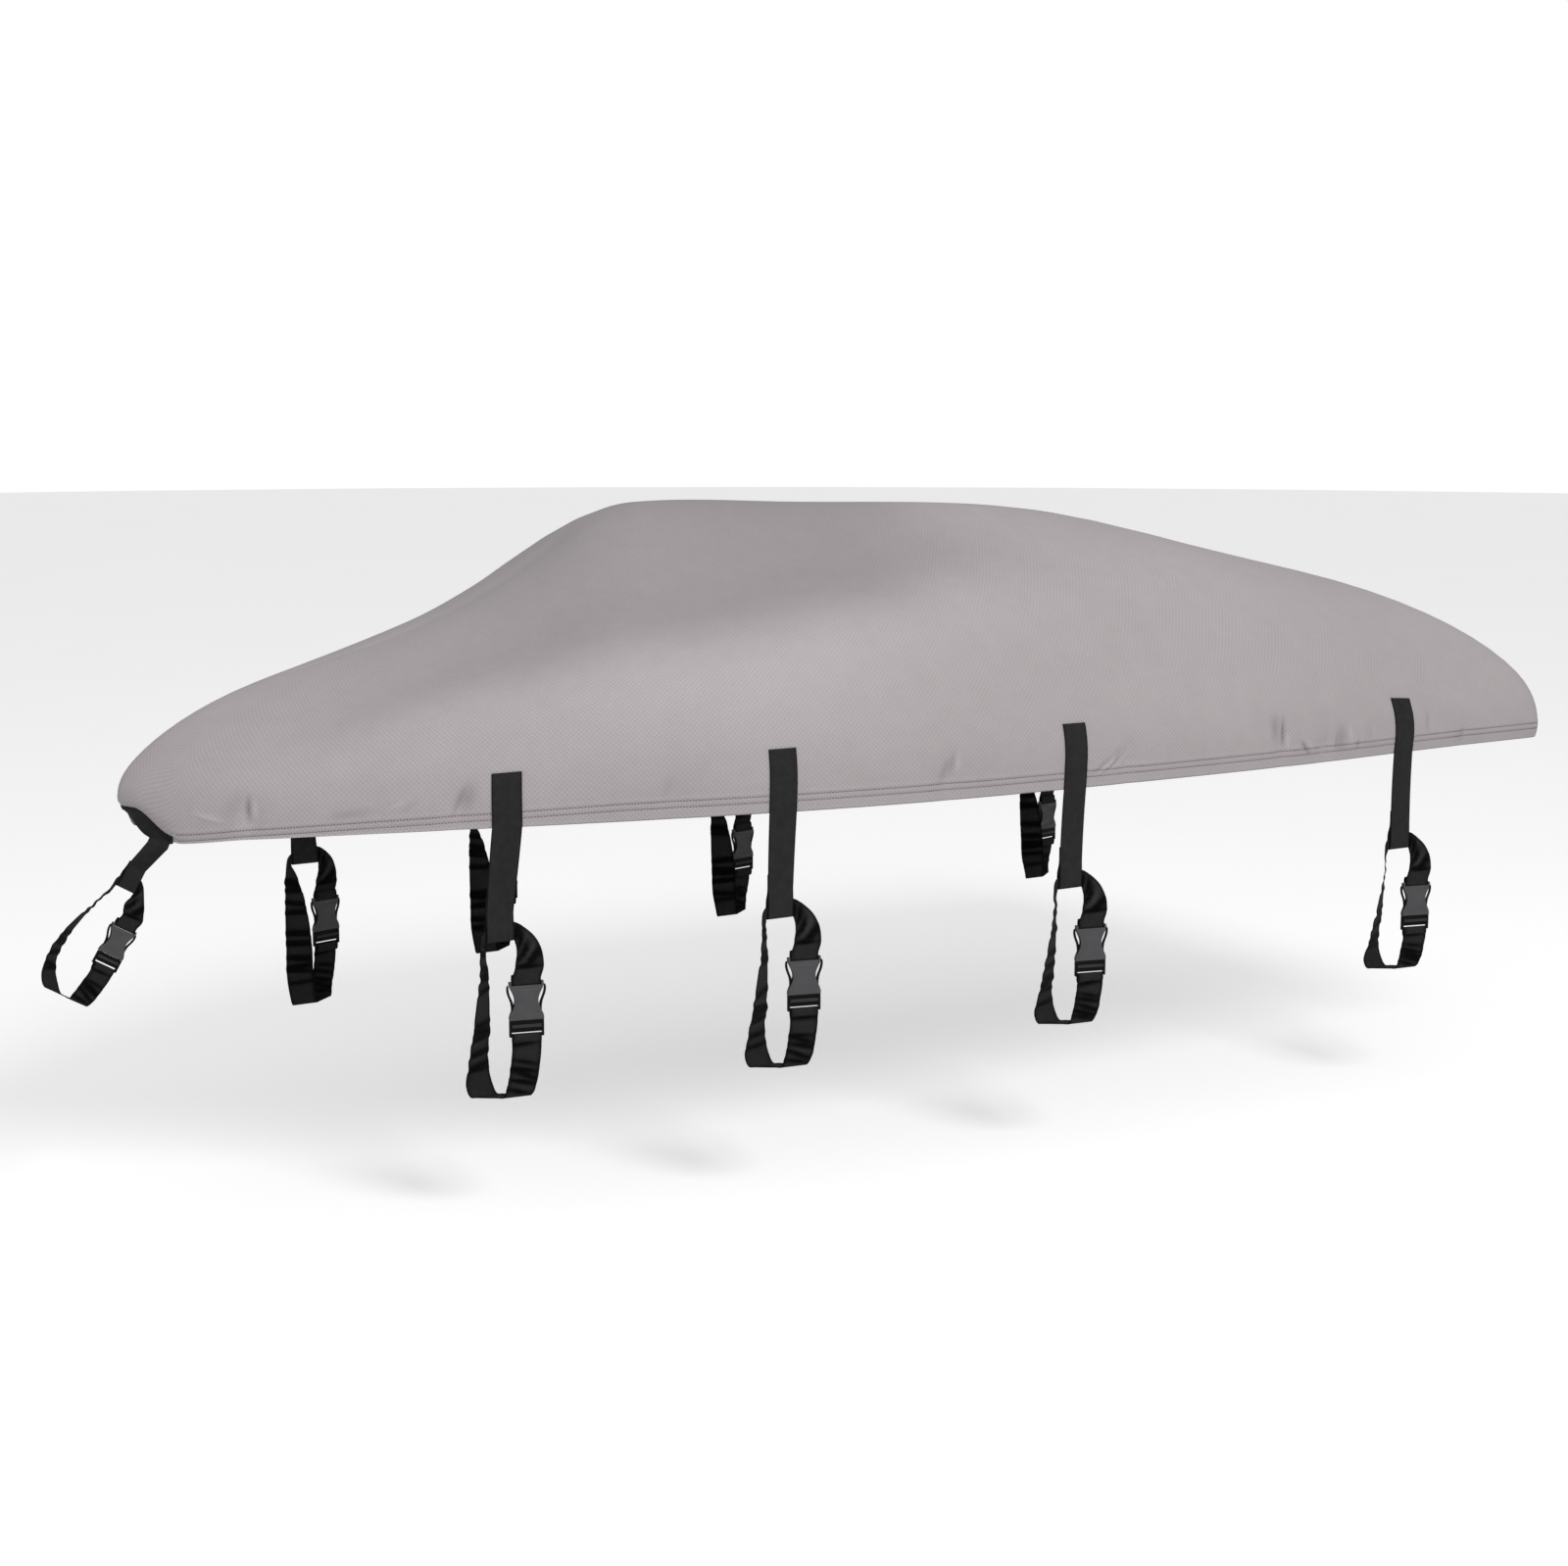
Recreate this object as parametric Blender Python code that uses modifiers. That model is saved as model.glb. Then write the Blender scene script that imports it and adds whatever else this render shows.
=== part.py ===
"""A fitted cover for a small trailered boat: one sewn cloth shell with nine webbing tie-downs.

The cover is hollow and open below, and keeps the shape that the boat under it gives it. Four tie-downs
hang on each side and one at the bow. Each is an upper strap sewn to the cloth with a sleeve at its lower
end, a loop strap that runs through the sleeve and round what it is tied to, and a side-release buckle
that closes the loop.

The bow points to -X, port is -Y, and +Z is up. The origin is under the highest point of the cloth.
Sizes are in metres. "from_bow" is measured aft from the nose, "height" up from the hem at midships.
"""

import math

import bmesh
import bpy
from mathutils import Matrix, Vector

# The cloth shell
LENGTH = 4.246
HALF_BEAM = 0.944
FULLEST_FROM_BOW = 2.18
BOW_FULLNESS = 2.3
BOW_ROUNDNESS = 0.74
STERN_NARROWING = 0.040
STERN_CORNER = 0.07
TRANSOM_CAMBER = 0.02
CLOTH = 0.002
HEM_TUCK = 0.009
NOSE_TUCK = 0.016
SPINE_START = 0.46
SPINE_END = 4.06
PEAK_FROM_BOW = 1.55
PEAK_HEIGHT = 0.764
STEM_HEM_HEIGHT = 0.0165
CHIN_START = 0.050
CHIN_END = 0.175
NOSE_END = 0.15

# How finely the plan's outline is drawn, and how far apart the shell's lines stand along it
SIDE_POINTS = 240
CORNER_POINTS = 24
TRANSOM_POINTS = 32
NOSE_STEPS = (
    # up_to_from_bow, step
    (0.12, 0.045),
    (0.35, 0.080),
)
SIDE_STEP = 0.180
CORNER_STEP = 0.040
TRANSOM_STEP = 0.240
CORNER_MARGIN = 0.02

# The crown line along the middle of the roof, from the nose to the stern
SPINE = (
    # from_bow, height
    (0.46, 0.330),
    (0.78, 0.414),
    (1.01, 0.500),
    (1.20, 0.602),
    (1.39, 0.726),
    (1.55, 0.764),
    (2.07, 0.748),
    (2.64, 0.727),
    (2.95, 0.691),
    (3.21, 0.618),
    (3.71, 0.476),
    (4.06, 0.410),
)

# How the side rises from the hem along each side
SIDE = (
    # from_bow, hem_height, shoulder_height, roof_power
    (0.00, -0.062, 0.060, 1.45),
    (0.09, -0.062, 0.062, 1.45),
    (0.22, -0.043, 0.080, 1.42),
    (0.50, -0.020, 0.110, 1.38),
    (0.90, -0.004, 0.140, 1.34),
    (1.40, 0.001, 0.165, 1.32),
    (2.40, -0.005, 0.175, 1.34),
    (3.20, -0.006, 0.150, 1.45),
    (3.80, 0.000, 0.100, 1.64),
    (4.20, 0.000, 0.070, 1.73),
)

# Broad hollows (depth above 0) and crowns (depth below 0) where the cloth spans what is under it
SWELLS = (
    # from_bow, up_roof, half_length, half_rise, port_depth, starboard_depth
    (1.55, 0.66, 0.80, 0.20, 0.024, 0.022),
    (1.75, 0.32, 1.00, 0.16, -0.012, -0.010),
    (0.72, 0.55, 0.30, 0.25, 0.014, 0.012),
    (2.75, 0.55, 0.45, 0.24, 0.012, 0.016),
    (3.50, 0.50, 0.40, 0.24, -0.008, -0.006),
)

# Puckers that run up from the hem
PUCKERS = (
    # from_bow, half_width, reach, port_depth, starboard_depth
    (0.235, 0.030, 0.13, 0.009, 0.006),
    (0.665, 0.050, 0.16, 0.010, 0.007),
    (1.180, 0.050, 0.13, 0.005, 0.008),
    (1.950, 0.045, 0.15, 0.008, 0.006),
    (2.560, 0.040, 0.16, 0.009, 0.008),
    (3.130, 0.035, 0.18, 0.010, 0.007),
    (3.300, 0.035, 0.13, 0.007, 0.010),
    (3.880, 0.040, 0.14, 0.006, 0.008),
)
HEM_PUCKER_SHARE = 0.35

SKIRT_RINGS = (0.0, 0.27, 0.52, 0.78)
ROOF_RINGS = 9

# The webbing
WEB_WIDTH = 0.076
WEB = 0.002
SEWN_GAP = 0.0005
LEAN_IN = 0.10
SLEEVE_DEPTH = 0.078
SLEEVE_HALF_GAP = 0.0055
SLEEVE_FLAP = 0.040
SLEEVE_CLEAR = WEB_WIDTH / 2 + 0.005
LAYER_STEP = WEB + 0.0006

SIDE_STRAPS = (
    # number, from_bow, rings_up, sleeve_height, forward_lean, loop_drop
    (1, 0.778, 4.05, -0.303, 0.022, 0.408),
    (2, 1.464, 4.05, -0.279, 0.002, 0.399),
    (3, 2.372, 4.00, -0.284, 0.000, 0.384),
    (4, 3.620, 4.80, -0.296, -0.012, 0.368),
)

# The buckle, drawn with its length along local Y and its front to local +Z
BODY_LENGTH = 0.100
BODY_THICK = 0.0132
BUCKLE_WIDTH = 0.090
WAIST_WIDTH = 0.067
WAIST_STEPS = 10
FRAME_LENGTH = 0.044
FRAME_THICK = 0.0110
PRONG_REACH = 0.066
PRONG_THICK = 0.0052
CAVITY_WIDTH = 0.0820
CAVITY_DEPTH = 0.0740
CAVITY_THICK = 0.0072
BUCKLE_GAP = 0.0006
BUCKLE_TOP = 0.108
BUCKLE_ACROSS = 0.067
BUCKLE_OUT = 0.0077
BUCKLE_TURN = math.radians(14)
BAR_THICK = 0.005
BAR_WIDTH = 0.005
SLOT_WIDTH = 0.0796
SLOT_LENGTH = 0.0065
BAR_INSET = 0.003
WRAP_RADIUS = 0.0049
WRAP_RETURN = 0.034
WRAP_STEPS = 5

BUCKLE_ACROSS_VECTOR = (math.cos(BUCKLE_TURN), math.sin(BUCKLE_TURN), 0.0)

# Where the loop strap's hump stands, measured down from the sleeve's lower edge
HUMP_MIDDLE = 0.028
HUMP_REACH = 0.045

# The loop strap from the buckle's body over the hump, through the sleeve, down behind the rail, under it
# and up the front to the buckle's frame. "down" is a share of the loop's drop where "share" is 1.
LOOP = (
    # across, out, down, share, width, facing (across, out, down)
    (0.073, 0.014, 0.076, 0, 0.076, (0.97, 0.24, -0.05)),
    (0.074, 0.014, 0.048, 0, 0.073, (0.95, 0.22, -0.22)),
    (0.070, 0.008, 0.018, 0, 0.065, (0.80, 0.15, -0.58)),
    (0.056, 0.000, -0.008, 0, 0.053, (0.42, 0.05, -0.90)),
    (0.0395, -0.0055, -0.0245, 0, 0.046, (0.02, 0.00, -1.00)),
    (0.000, -0.0055, -0.0232, 0, 0.042, (0.00, 0.00, -1.00)),
    (-0.0395, -0.0055, -0.0170, 0, 0.030, (-0.02, 0.00, -1.00)),
    (-0.0455, -0.005, -0.007, 0, 0.028, (-0.38, 0.06, -0.92)),
    (-0.045, -0.010, 0.014, 0, 0.030, (-0.70, 0.55, -0.45)),
    (-0.040, -0.018, 0.18, 1, 0.052, (-0.72, 0.69, 0.0)),
    (-0.037, -0.030, 0.40, 1, 0.070, (-0.80, 0.60, 0.0)),
    (-0.038, -0.043, 0.60, 1, 0.076, (-0.86, 0.51, 0.0)),
    (-0.042, -0.054, 0.80, 1, 0.076, (-0.92, 0.39, 0.0)),
    (-0.037, -0.058, 0.94, 1, 0.076, (-1.00, 0.05, 0.0)),
    (-0.028, -0.050, 1.00, 1, 0.076, (-1.00, 0.00, 0.0)),
    (-0.018, -0.042, 1.00, 1, 0.076, (-1.00, 0.00, 0.0)),
    (0.029, -0.006, 1.00, 1, 0.076, (-1.00, -0.08, 0.0)),
    (0.040, 0.002, 1.00, 1, 0.076, (-0.99, -0.12, 0.0)),
    (0.050, 0.010, 0.93, 1, 0.076, (-0.97, -0.24, 0.0)),
    (0.060, 0.012, 0.80, 1, 0.076, (-0.97, -0.24, 0.0)),
)

# The bow tie-down. Its strap is sewn along the hem from the stem to its fold on the port side, one row at
# each line of the shell, and then hangs free to its sleeve.
BOW_SEWN = (
    # rings_up, inner edge (from_bow, side, height)
    (0.50, (0.034, 0.048, 0.004)),
    (0.50, (0.037, 0.014, -0.006)),
    (0.40, (0.036, -0.034, -0.022)),
    (0.35, (0.038, -0.078, -0.038)),
    (0.45, (0.044, -0.116, -0.046)),
)
BOW_FREE = (
    # outer edge, inner edge (from_bow, side, height)
    ((0.073, -0.166, -0.078), (0.028, -0.128, -0.066)),
    ((0.055, -0.140, -0.110), (0.010, -0.108, -0.094)),
)
BOW_LIP = 0.0035
BOW_SLEEVE = (-0.016, -0.095, -0.178)
BOW_TILT = math.radians(31)
BOW_YAW = math.radians(20)
BOW_SCALE = 0.80
BOW_SPREAD = 1.9
BOW_SHIFT = -0.004
BOW_HUMP_IN = 0.024
BOW_DROP = 0.385

CLOTH_COLOUR = (0.402, 0.374, 0.382, 1.0)
WEB_COLOUR = (0.025, 0.025, 0.026, 1.0)
BODY_COLOUR = (0.067, 0.067, 0.068, 1.0)
FRAME_COLOUR = (0.014, 0.014, 0.015, 1.0)


def curve_through(rows, column, where):
    """The smooth curve through a table's column at a place in its first column."""
    if where <= rows[0][0]:
        return rows[0][column]
    if where >= rows[-1][0]:
        return rows[-1][column]
    i = max(k for k in range(len(rows) - 1) if rows[k][0] <= where)

    def slope(k):
        before = rows[max(k - 1, 0)]
        after = rows[min(k + 1, len(rows) - 1)]
        return (after[column] - before[column]) / (after[0] - before[0])

    start, end = rows[i], rows[i + 1]
    span = end[0] - start[0]
    t = (where - start[0]) / span
    return (
        start[column] * (1 - t) ** 2 * (1 + 2 * t)
        + end[column] * t**2 * (3 - 2 * t)
        + span * (slope(i) * t * (1 - t) ** 2 - slope(i + 1) * t**2 * (1 - t))
    )


def smoothstep(t):
    t = min(max(t, 0.0), 1.0)
    return t * t * (3 - 2 * t)


def half_breadth(from_bow):
    """Half the cover's breadth at the shoulder, before the stern corners are rounded."""
    if from_bow < FULLEST_FROM_BOW:
        ahead = 1 - max(from_bow, 0) / FULLEST_FROM_BOW
        return HALF_BEAM * (1 - ahead**BOW_FULLNESS) ** BOW_ROUNDNESS
    aft = (from_bow - FULLEST_FROM_BOW) / (LENGTH - FULLEST_FROM_BOW)
    return HALF_BEAM - STERN_NARROWING * aft**2


def half_outline():
    """Close-set points of the plan from the nose round one side to the middle of the transom."""
    corner_start = LENGTH - STERN_CORNER
    points = []
    for k in range(SIDE_POINTS + 1):
        from_bow = corner_start * (k / SIDE_POINTS) ** 2
        points.append((from_bow, half_breadth(from_bow)))
    breadth = points[-1][1]
    for k in range(1, CORNER_POINTS + 1):
        turn = math.pi / 2 * k / CORNER_POINTS
        points.append(
            (
                corner_start + STERN_CORNER * math.sin(turn),
                breadth - STERN_CORNER * (1 - math.cos(turn)),
            )
        )
    half_flat = points[-1][1]
    for k in range(1, TRANSOM_POINTS + 1):
        across = half_flat * (1 - k / TRANSOM_POINTS)
        points.append((LENGTH + TRANSOM_CAMBER * (1 - (across / half_flat) ** 2), across))
    return points


def station_step(from_bow, across):
    """How far apart the shell's lines stand: close at the nose and at the stern corners."""
    for up_to, step in NOSE_STEPS:
        if from_bow < up_to:
            return step
    if from_bow < LENGTH - STERN_CORNER - CORNER_MARGIN:
        return SIDE_STEP
    if across > half_breadth(LENGTH) - STERN_CORNER - CORNER_MARGIN:
        return CORNER_STEP
    return TRANSOM_STEP


def stations():
    """(from_bow, half_breadth, share of the way round) of each line of one side of the shell."""
    outline = half_outline()
    arc = [0.0]
    for before, after in zip(outline, outline[1:]):
        arc.append(arc[-1] + math.dist(before, after))

    def at(distance):
        i = max(k for k in range(len(arc) - 1) if arc[k] <= distance)
        t = (distance - arc[i]) / (arc[i + 1] - arc[i])
        return tuple(a + (b - a) * t for a, b in zip(outline[i], outline[i + 1]))

    places = []
    distance = 0.0
    while distance < arc[-1] - CORNER_STEP:
        places.append(distance)
        distance += station_step(*at(distance))
    places.append(arc[-1])
    last = arc[-1] - 1e-6
    features = [(from_bow, half_width) for from_bow, half_width, *_ in PUCKERS]
    features += [(from_bow, WEB_WIDTH / 2) for _, from_bow, *_ in SIDE_STRAPS]
    for from_bow, half_width in features:
        i = max(k for k in range(SIDE_POINTS) if outline[k][0] <= from_bow)
        step = (from_bow - outline[i][0]) / (outline[i + 1][0] - outline[i][0])
        middle = arc[i] + (arc[i + 1] - arc[i]) * step
        wanted = [middle - half_width, middle, middle + half_width]
        places = [p for p in places if min(abs(p - w) for w in wanted) > 0.6 * half_width]
        places = sorted(places + wanted)
    return [(*at(min(p, last)), p / arc[-1]) for p in places]


def outward(from_bow, breadth, side):
    """The level direction that points away from the boat at a place on the outline."""
    if breadth < 1e-4:
        return Vector((-1 if from_bow < LENGTH / 2 else 1, 0, 0))
    outline = half_outline()
    near = min(range(len(outline)), key=lambda k: math.dist(outline[k], (from_bow, breadth)))
    before = outline[max(near - 1, 0)]
    after = outline[min(near + 1, len(outline) - 1)]
    along = Vector((after[0] - before[0], side * (after[1] - before[1]), 0)).normalized()
    return Vector((-side * along.y, side * along.x, 0))


def hem_height(from_bow, breadth):
    """The height of the hem's lower edge, which arches up across the front of the nose."""
    height = curve_through(SIDE, 1, from_bow)
    if from_bow < 0.2 and breadth < CHIN_END:
        share = (breadth - CHIN_START) / (CHIN_END - CHIN_START)
        height = STEM_HEM_HEIGHT + (height - STEM_HEM_HEIGHT) * smoothstep(share)
    return height


def to_frame(from_bow, side, height):
    """A place on the boat, in the part's own frame."""
    return Vector((from_bow - PEAK_FROM_BOW, side, height - PEAK_HEIGHT + CLOTH))


def swell(from_bow, up_roof, side):
    """How far the cloth lies inside its smooth form, from the broad hollows and crowns."""
    depth = 0.0
    for middle, rise, half_length, half_rise, port, starboard in SWELLS:
        amount = port if side < 0 else starboard
        along = (from_bow - middle) / half_length
        up = (up_roof - rise) / half_rise
        depth += amount * math.exp(-(along**2) - up**2)
    return depth


def pucker(from_bow, above_hem, side):
    """How far the cloth is drawn in by the puckers over the hem."""
    depth = 0.0
    for middle, half_width, reach, port, starboard in PUCKERS:
        amount = port if side < 0 else starboard
        along = (from_bow - middle) / half_width
        foot = HEM_PUCKER_SHARE + (1 - HEM_PUCKER_SHARE) * smoothstep(above_hem / (0.4 * reach))
        fade = 1 - smoothstep((above_hem - 0.4 * reach) / (0.6 * reach))
        depth += amount * math.exp(-(along**2) * 1.5) * foot * fade
    return depth


def shell_line(from_bow, breadth, share, side):
    """One line of the shell's outer face, from the hem up the side and over the roof to the crown."""
    away = outward(from_bow, breadth, side)
    hem = hem_height(from_bow, breadth)
    shoulder = curve_through(SIDE, 2, from_bow)
    power = curve_through(SIDE, 3, from_bow)
    spine_at = SPINE_START + (SPINE_END - SPINE_START) * share
    crown = curve_through(SPINE, 1, spine_at)
    nose = 1 - smoothstep(from_bow / NOSE_END)
    tuck = HEM_TUCK + (NOSE_TUCK - HEM_TUCK) * nose
    foot = Vector((from_bow, side * breadth, 0))
    line = []
    for rise in SKIRT_RINGS:
        height = hem + (shoulder - hem) * rise
        drawn_in = tuck * (1 - rise) ** 2 + pucker(from_bow, height - hem, side)
        spot = foot - away * drawn_in
        line.append(to_frame(spot.x, spot.y, height))
    for ring in range(ROOF_RINGS + 1):
        turn = math.pi / 2 * ring / ROOF_RINGS
        inboard = 1 - max(math.cos(turn), 0) ** (2 / power)
        rise = math.sin(turn) ** (2 / power)
        height = shoulder + (crown - shoulder) * rise
        spot = foot.lerp(Vector((spine_at, 0, 0)), inboard)
        fade = math.sin(turn) * math.cos(turn) * 2
        drawn_in = swell(from_bow, ring / ROOF_RINGS, side) * fade
        drawn_in += pucker(from_bow, height - hem, side) * math.cos(turn)
        inward = away * -math.cos(turn) + Vector((0, 0, -math.sin(turn)))
        place = to_frame(spot.x, spot.y, height) + inward * drawn_in
        if ring == ROOF_RINGS:
            place.y = 0.0
        line.append(place)
    return line


def material(name, colour, roughness):
    made = bpy.data.materials.new(name)
    made.use_nodes = True
    shader = made.node_tree.nodes["Principled BSDF"]
    shader.inputs["Base Color"].default_value = colour
    shader.inputs["Roughness"].default_value = roughness
    shader.inputs["Metallic"].default_value = 0.0
    made.diffuse_color = colour
    return made


def mesh_object(name, mesh, collection, finish):
    made = bpy.data.objects.new(name, mesh)
    mesh.materials.append(finish)
    collection.objects.link(made)
    return made


def thicken(obj, thickness, offset):
    """Gives an open sheet its thickness: offset -1 keeps the sheet as the outer face, 0 as the middle."""
    shell = obj.modifiers.new("thickness", "SOLIDIFY")
    shell.thickness = thickness
    shell.offset = offset
    shell.use_even_offset = True
    shell.thickness_clamp = 0


def make_cover(collection, finish):
    """The cloth shell: lines from hem to crown on both sides, joined round the hem and along the crown."""
    lines = []
    side_stations = stations()
    for side, order in ((-1, side_stations), (1, side_stations[-2:0:-1])):
        for from_bow, breadth, share in order:
            lines.append(shell_line(from_bow, breadth, share, side))
    sheet = bmesh.new()
    grid = [[sheet.verts.new(place) for place in line] for line in lines]
    for i, line in enumerate(grid):
        following = grid[(i + 1) % len(grid)]
        for low in range(len(line) - 1):
            sheet.faces.new((line[low], line[low + 1], following[low + 1], following[low]))
    bmesh.ops.remove_doubles(sheet, verts=sheet.verts, dist=0.0001)
    bmesh.ops.dissolve_degenerate(sheet, edges=sheet.edges, dist=0.0001)
    bmesh.ops.triangulate(sheet, faces=sheet.faces)
    bmesh.ops.recalc_face_normals(sheet, faces=sheet.faces)
    upward = sum((face.normal.z * face.calc_area() for face in sheet.faces))
    if upward < 0:
        bmesh.ops.reverse_faces(sheet, faces=sheet.faces)
    mesh = bpy.data.meshes.new("cover")
    sheet.to_mesh(mesh)
    sheet.free()
    mesh.shade_smooth()
    cover = mesh_object("cover", mesh, collection, finish)
    thicken(cover, CLOTH, -1)


def ribbon(name, rows, collection, finish, scale=1.0):
    """A webbing strap: a sheet through rows of points across its width, then thickened both ways."""
    sheet = bmesh.new()
    grid = [[sheet.verts.new(point) for point in row] for row in rows]
    for row, following in zip(grid, grid[1:]):
        for k in range(len(row) - 1):
            sheet.faces.new((row[k], row[k + 1], following[k + 1], following[k]))
    mesh = bpy.data.meshes.new(name)
    sheet.to_mesh(mesh)
    sheet.free()
    strap = mesh_object(name, mesh, collection, finish)
    thicken(strap, WEB * scale, 0)
    return strap


def across_row(middle, direction, width, columns=2):
    """Points across a strap, evenly spaced."""
    half = direction.normalized() * (width / 2)
    return [middle - half + half * 2 * (k / (columns - 1)) for k in range(columns)]


class Hang:
    """The frame at the lower edge of a sleeve: across the strap, out from the boat, and down.

    spread is how much further back than the table's the loop's back leg swings halfway down, shift moves
    the buckle across, and hump_in draws the hump over the buckle in.
    """

    def __init__(self, origin, across, out, scale=1.0, spread=1.0, shift=0.0, hump_in=0.0):
        self.origin = origin
        self.scale = scale
        self.spread = spread
        self.shift = shift
        self.hump_in = hump_in
        self.buckle_across = BUCKLE_ACROSS + shift
        self.across = across.normalized()
        self.out = out.normalized()
        self.down = self.across.cross(self.out)
        if self.down.z > 0:
            self.down = -self.down

    def point(self, across, out, down):
        return self.origin + self.vector(across, out, down) * self.scale

    def vector(self, across, out, down):
        return self.across * across + self.out * out + self.down * down

    def row(self, place, direction, width=WEB_WIDTH, columns=2):
        """Points across a strap at a place, both given in this frame."""
        return across_row(
            self.point(*place), self.vector(*direction), width * self.scale, columns
        )


def sleeve_rows(hang, columns):
    """The end of an upper strap: down the front of its sleeve, round, up the back and sewn flat."""
    side_gap = SLEEVE_HALF_GAP
    path = [
        (0.0, -SLEEVE_DEPTH),
        (0.0010, -0.62 * SLEEVE_DEPTH),
        (0.0010, -0.25 * SLEEVE_DEPTH),
    ]
    for k in range(7):
        turn = math.pi * k / 6
        path.append((side_gap * (math.cos(turn) - 1), side_gap * (math.sin(turn) - 1)))
    path += [
        (-2 * side_gap - 0.0005, -0.30 * SLEEVE_DEPTH),
        (-2 * side_gap + 0.0005, -0.60 * SLEEVE_DEPTH),
        (-1.6 * LAYER_STEP, -0.88 * SLEEVE_DEPTH),
        (-LAYER_STEP, -SLEEVE_DEPTH - 0.004),
        (-LAYER_STEP, -SLEEVE_DEPTH - SLEEVE_FLAP),
    ]
    return [hang.row((0, out, down), (1, 0, 0), columns=columns) for out, down in path]


def wrap_rows(hang, bar_down, approach):
    """The end of a loop strap round a buckle's bar. approach is 1 where the strap comes from above."""
    face = Vector(BUCKLE_ACROSS_VECTOR)
    front = Vector((-face.y, face.x, 0))
    rows = []
    path = [(WRAP_RADIUS, -approach * 0.012)]
    for k in range(WRAP_STEPS + 1):
        turn = math.pi * k / WRAP_STEPS
        path.append(
            (WRAP_RADIUS * math.cos(turn), approach * (0.0005 + WRAP_RADIUS * math.sin(turn)))
        )
    path += [
        (0.2 * WRAP_RADIUS - LAYER_STEP, -approach * 0.020),
        (WRAP_RADIUS - LAYER_STEP - 0.0012, -approach * WRAP_RETURN),
    ]
    for out, down in path:
        spot = Vector((hang.buckle_across, BUCKLE_OUT, bar_down + down)) + front * out
        rows.append(hang.row(spot, face * approach))
    return rows


def loop_rows(hang, drop):
    """The whole loop strap, from its end at the buckle's body to its end at the buckle's frame."""
    rows = list(reversed(wrap_rows(hang, BUCKLE_TOP + BAR_INSET, 1)))
    for across, out, down, share, width, facing in LOOP:
        if share and across < 0:
            swing = 1 + (hang.spread - 1) * math.sin(math.pi * down)
            across *= swing
            out *= swing
        elif across > SLEEVE_CLEAR:
            hump = max(0, 1 - abs(down - HUMP_MIDDLE) / HUMP_REACH) * (1 - share)
            across += hang.shift - hang.hump_in * hump
        if share:
            down *= drop
        rows.append(hang.row((across, out, down), facing, width))
    frame_bar = BUCKLE_TOP + BODY_LENGTH + BUCKLE_GAP + FRAME_LENGTH - BAR_INSET
    return rows + wrap_rows(hang, frame_bar, -1)


def flat_piece(name, outlines, thickness, scale, collection, finish):
    """A flat moulding, cut from closed outlines: the first is its rim, and the others are holes."""
    curve = bpy.data.curves.new(name, "CURVE")
    curve.dimensions = "2D"
    curve.fill_mode = "BOTH"
    curve.extrude = thickness / 2
    for outline in outlines:
        spline = curve.splines.new("POLY")
        spline.points.add(len(outline) - 1)
        for point, (x, y) in zip(spline.points, outline):
            point.co = (x, y, 0, 1)
        spline.use_cyclic_u = True
    drawn = bpy.data.objects.new(name, curve)
    collection.objects.link(drawn)
    bpy.context.view_layer.update()
    graph = bpy.context.evaluated_depsgraph_get()
    mesh = bpy.data.meshes.new_from_object(drawn.evaluated_get(graph))
    bpy.data.objects.remove(drawn)
    bpy.data.curves.remove(curve)
    welded = bmesh.new()
    welded.from_mesh(mesh)
    bmesh.ops.remove_doubles(welded, verts=welded.verts, dist=0.00002)
    bmesh.ops.recalc_face_normals(welded, faces=welded.faces)
    welded.transform(Matrix.Scale(scale, 4))
    welded.to_mesh(mesh)
    welded.free()
    mesh.name = name
    mesh.materials.clear()
    return mesh_object(name, mesh, collection, finish)


def mirrored(half):
    """A closed outline from its right half, listed from the bottom up."""
    return half + [(-x, y) for x, y in reversed(half)]


def waist(t):
    """Half the body's width at a share of its length: pinched where the prongs lie."""
    pinch = math.sin(math.pi * min(max((t - 0.08) / 0.72, 0), 1)) ** 2
    return (BUCKLE_WIDTH - (BUCKLE_WIDTH - WAIST_WIDTH) * pinch) / 2


def body_outline():
    """The buckle's body: y runs from 0 at the frame's side to its length at the strap's side."""
    half = [(waist(k / WAIST_STEPS), BODY_LENGTH * k / WAIST_STEPS) for k in range(WAIST_STEPS)]
    return mirrored(half + [(BUCKLE_WIDTH / 2, BODY_LENGTH)])


def frame_outline():
    """The buckle's frame with its two prongs, which run up inside the body and show at its waist."""
    outer = BUCKLE_WIDTH / 2
    half = [
        (outer - 0.004, -FRAME_LENGTH),
        (outer, -FRAME_LENGTH + 0.004),
        (outer, -0.004 - BUCKLE_GAP),
        (outer - 0.003, -BUCKLE_GAP),
        (0.0380, -BUCKLE_GAP),
        (0.0375, 0.012),
        (0.0395, 0.026),
        (0.0412, 0.040),
        (0.0412, 0.052),
        (0.0385, PRONG_REACH - 0.003),
        (0.0350, PRONG_REACH),
        (0.0325, PRONG_REACH - 0.006),
        (0.0345, 0.050),
        (0.0335, 0.036),
        (0.0315, 0.020),
        (0.0300, -BUCKLE_GAP),
    ]
    return mirrored(half)


def slot(width, low, high):
    return [(-width / 2, low), (width / 2, low), (width / 2, high), (-width / 2, high)]


def box_cutter(name, size, middle, scale, collection):
    shape = bmesh.new()
    bmesh.ops.create_cube(shape, size=1.0, matrix=Matrix.LocRotScale(middle, None, size))
    shape.transform(Matrix.Scale(scale, 4))
    mesh = bpy.data.meshes.new(name)
    shape.to_mesh(mesh)
    shape.free()
    cutter = bpy.data.objects.new(name, mesh)
    cutter.hide_render = True
    cutter.display_type = "WIRE"
    collection.objects.link(cutter)
    return cutter


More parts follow.
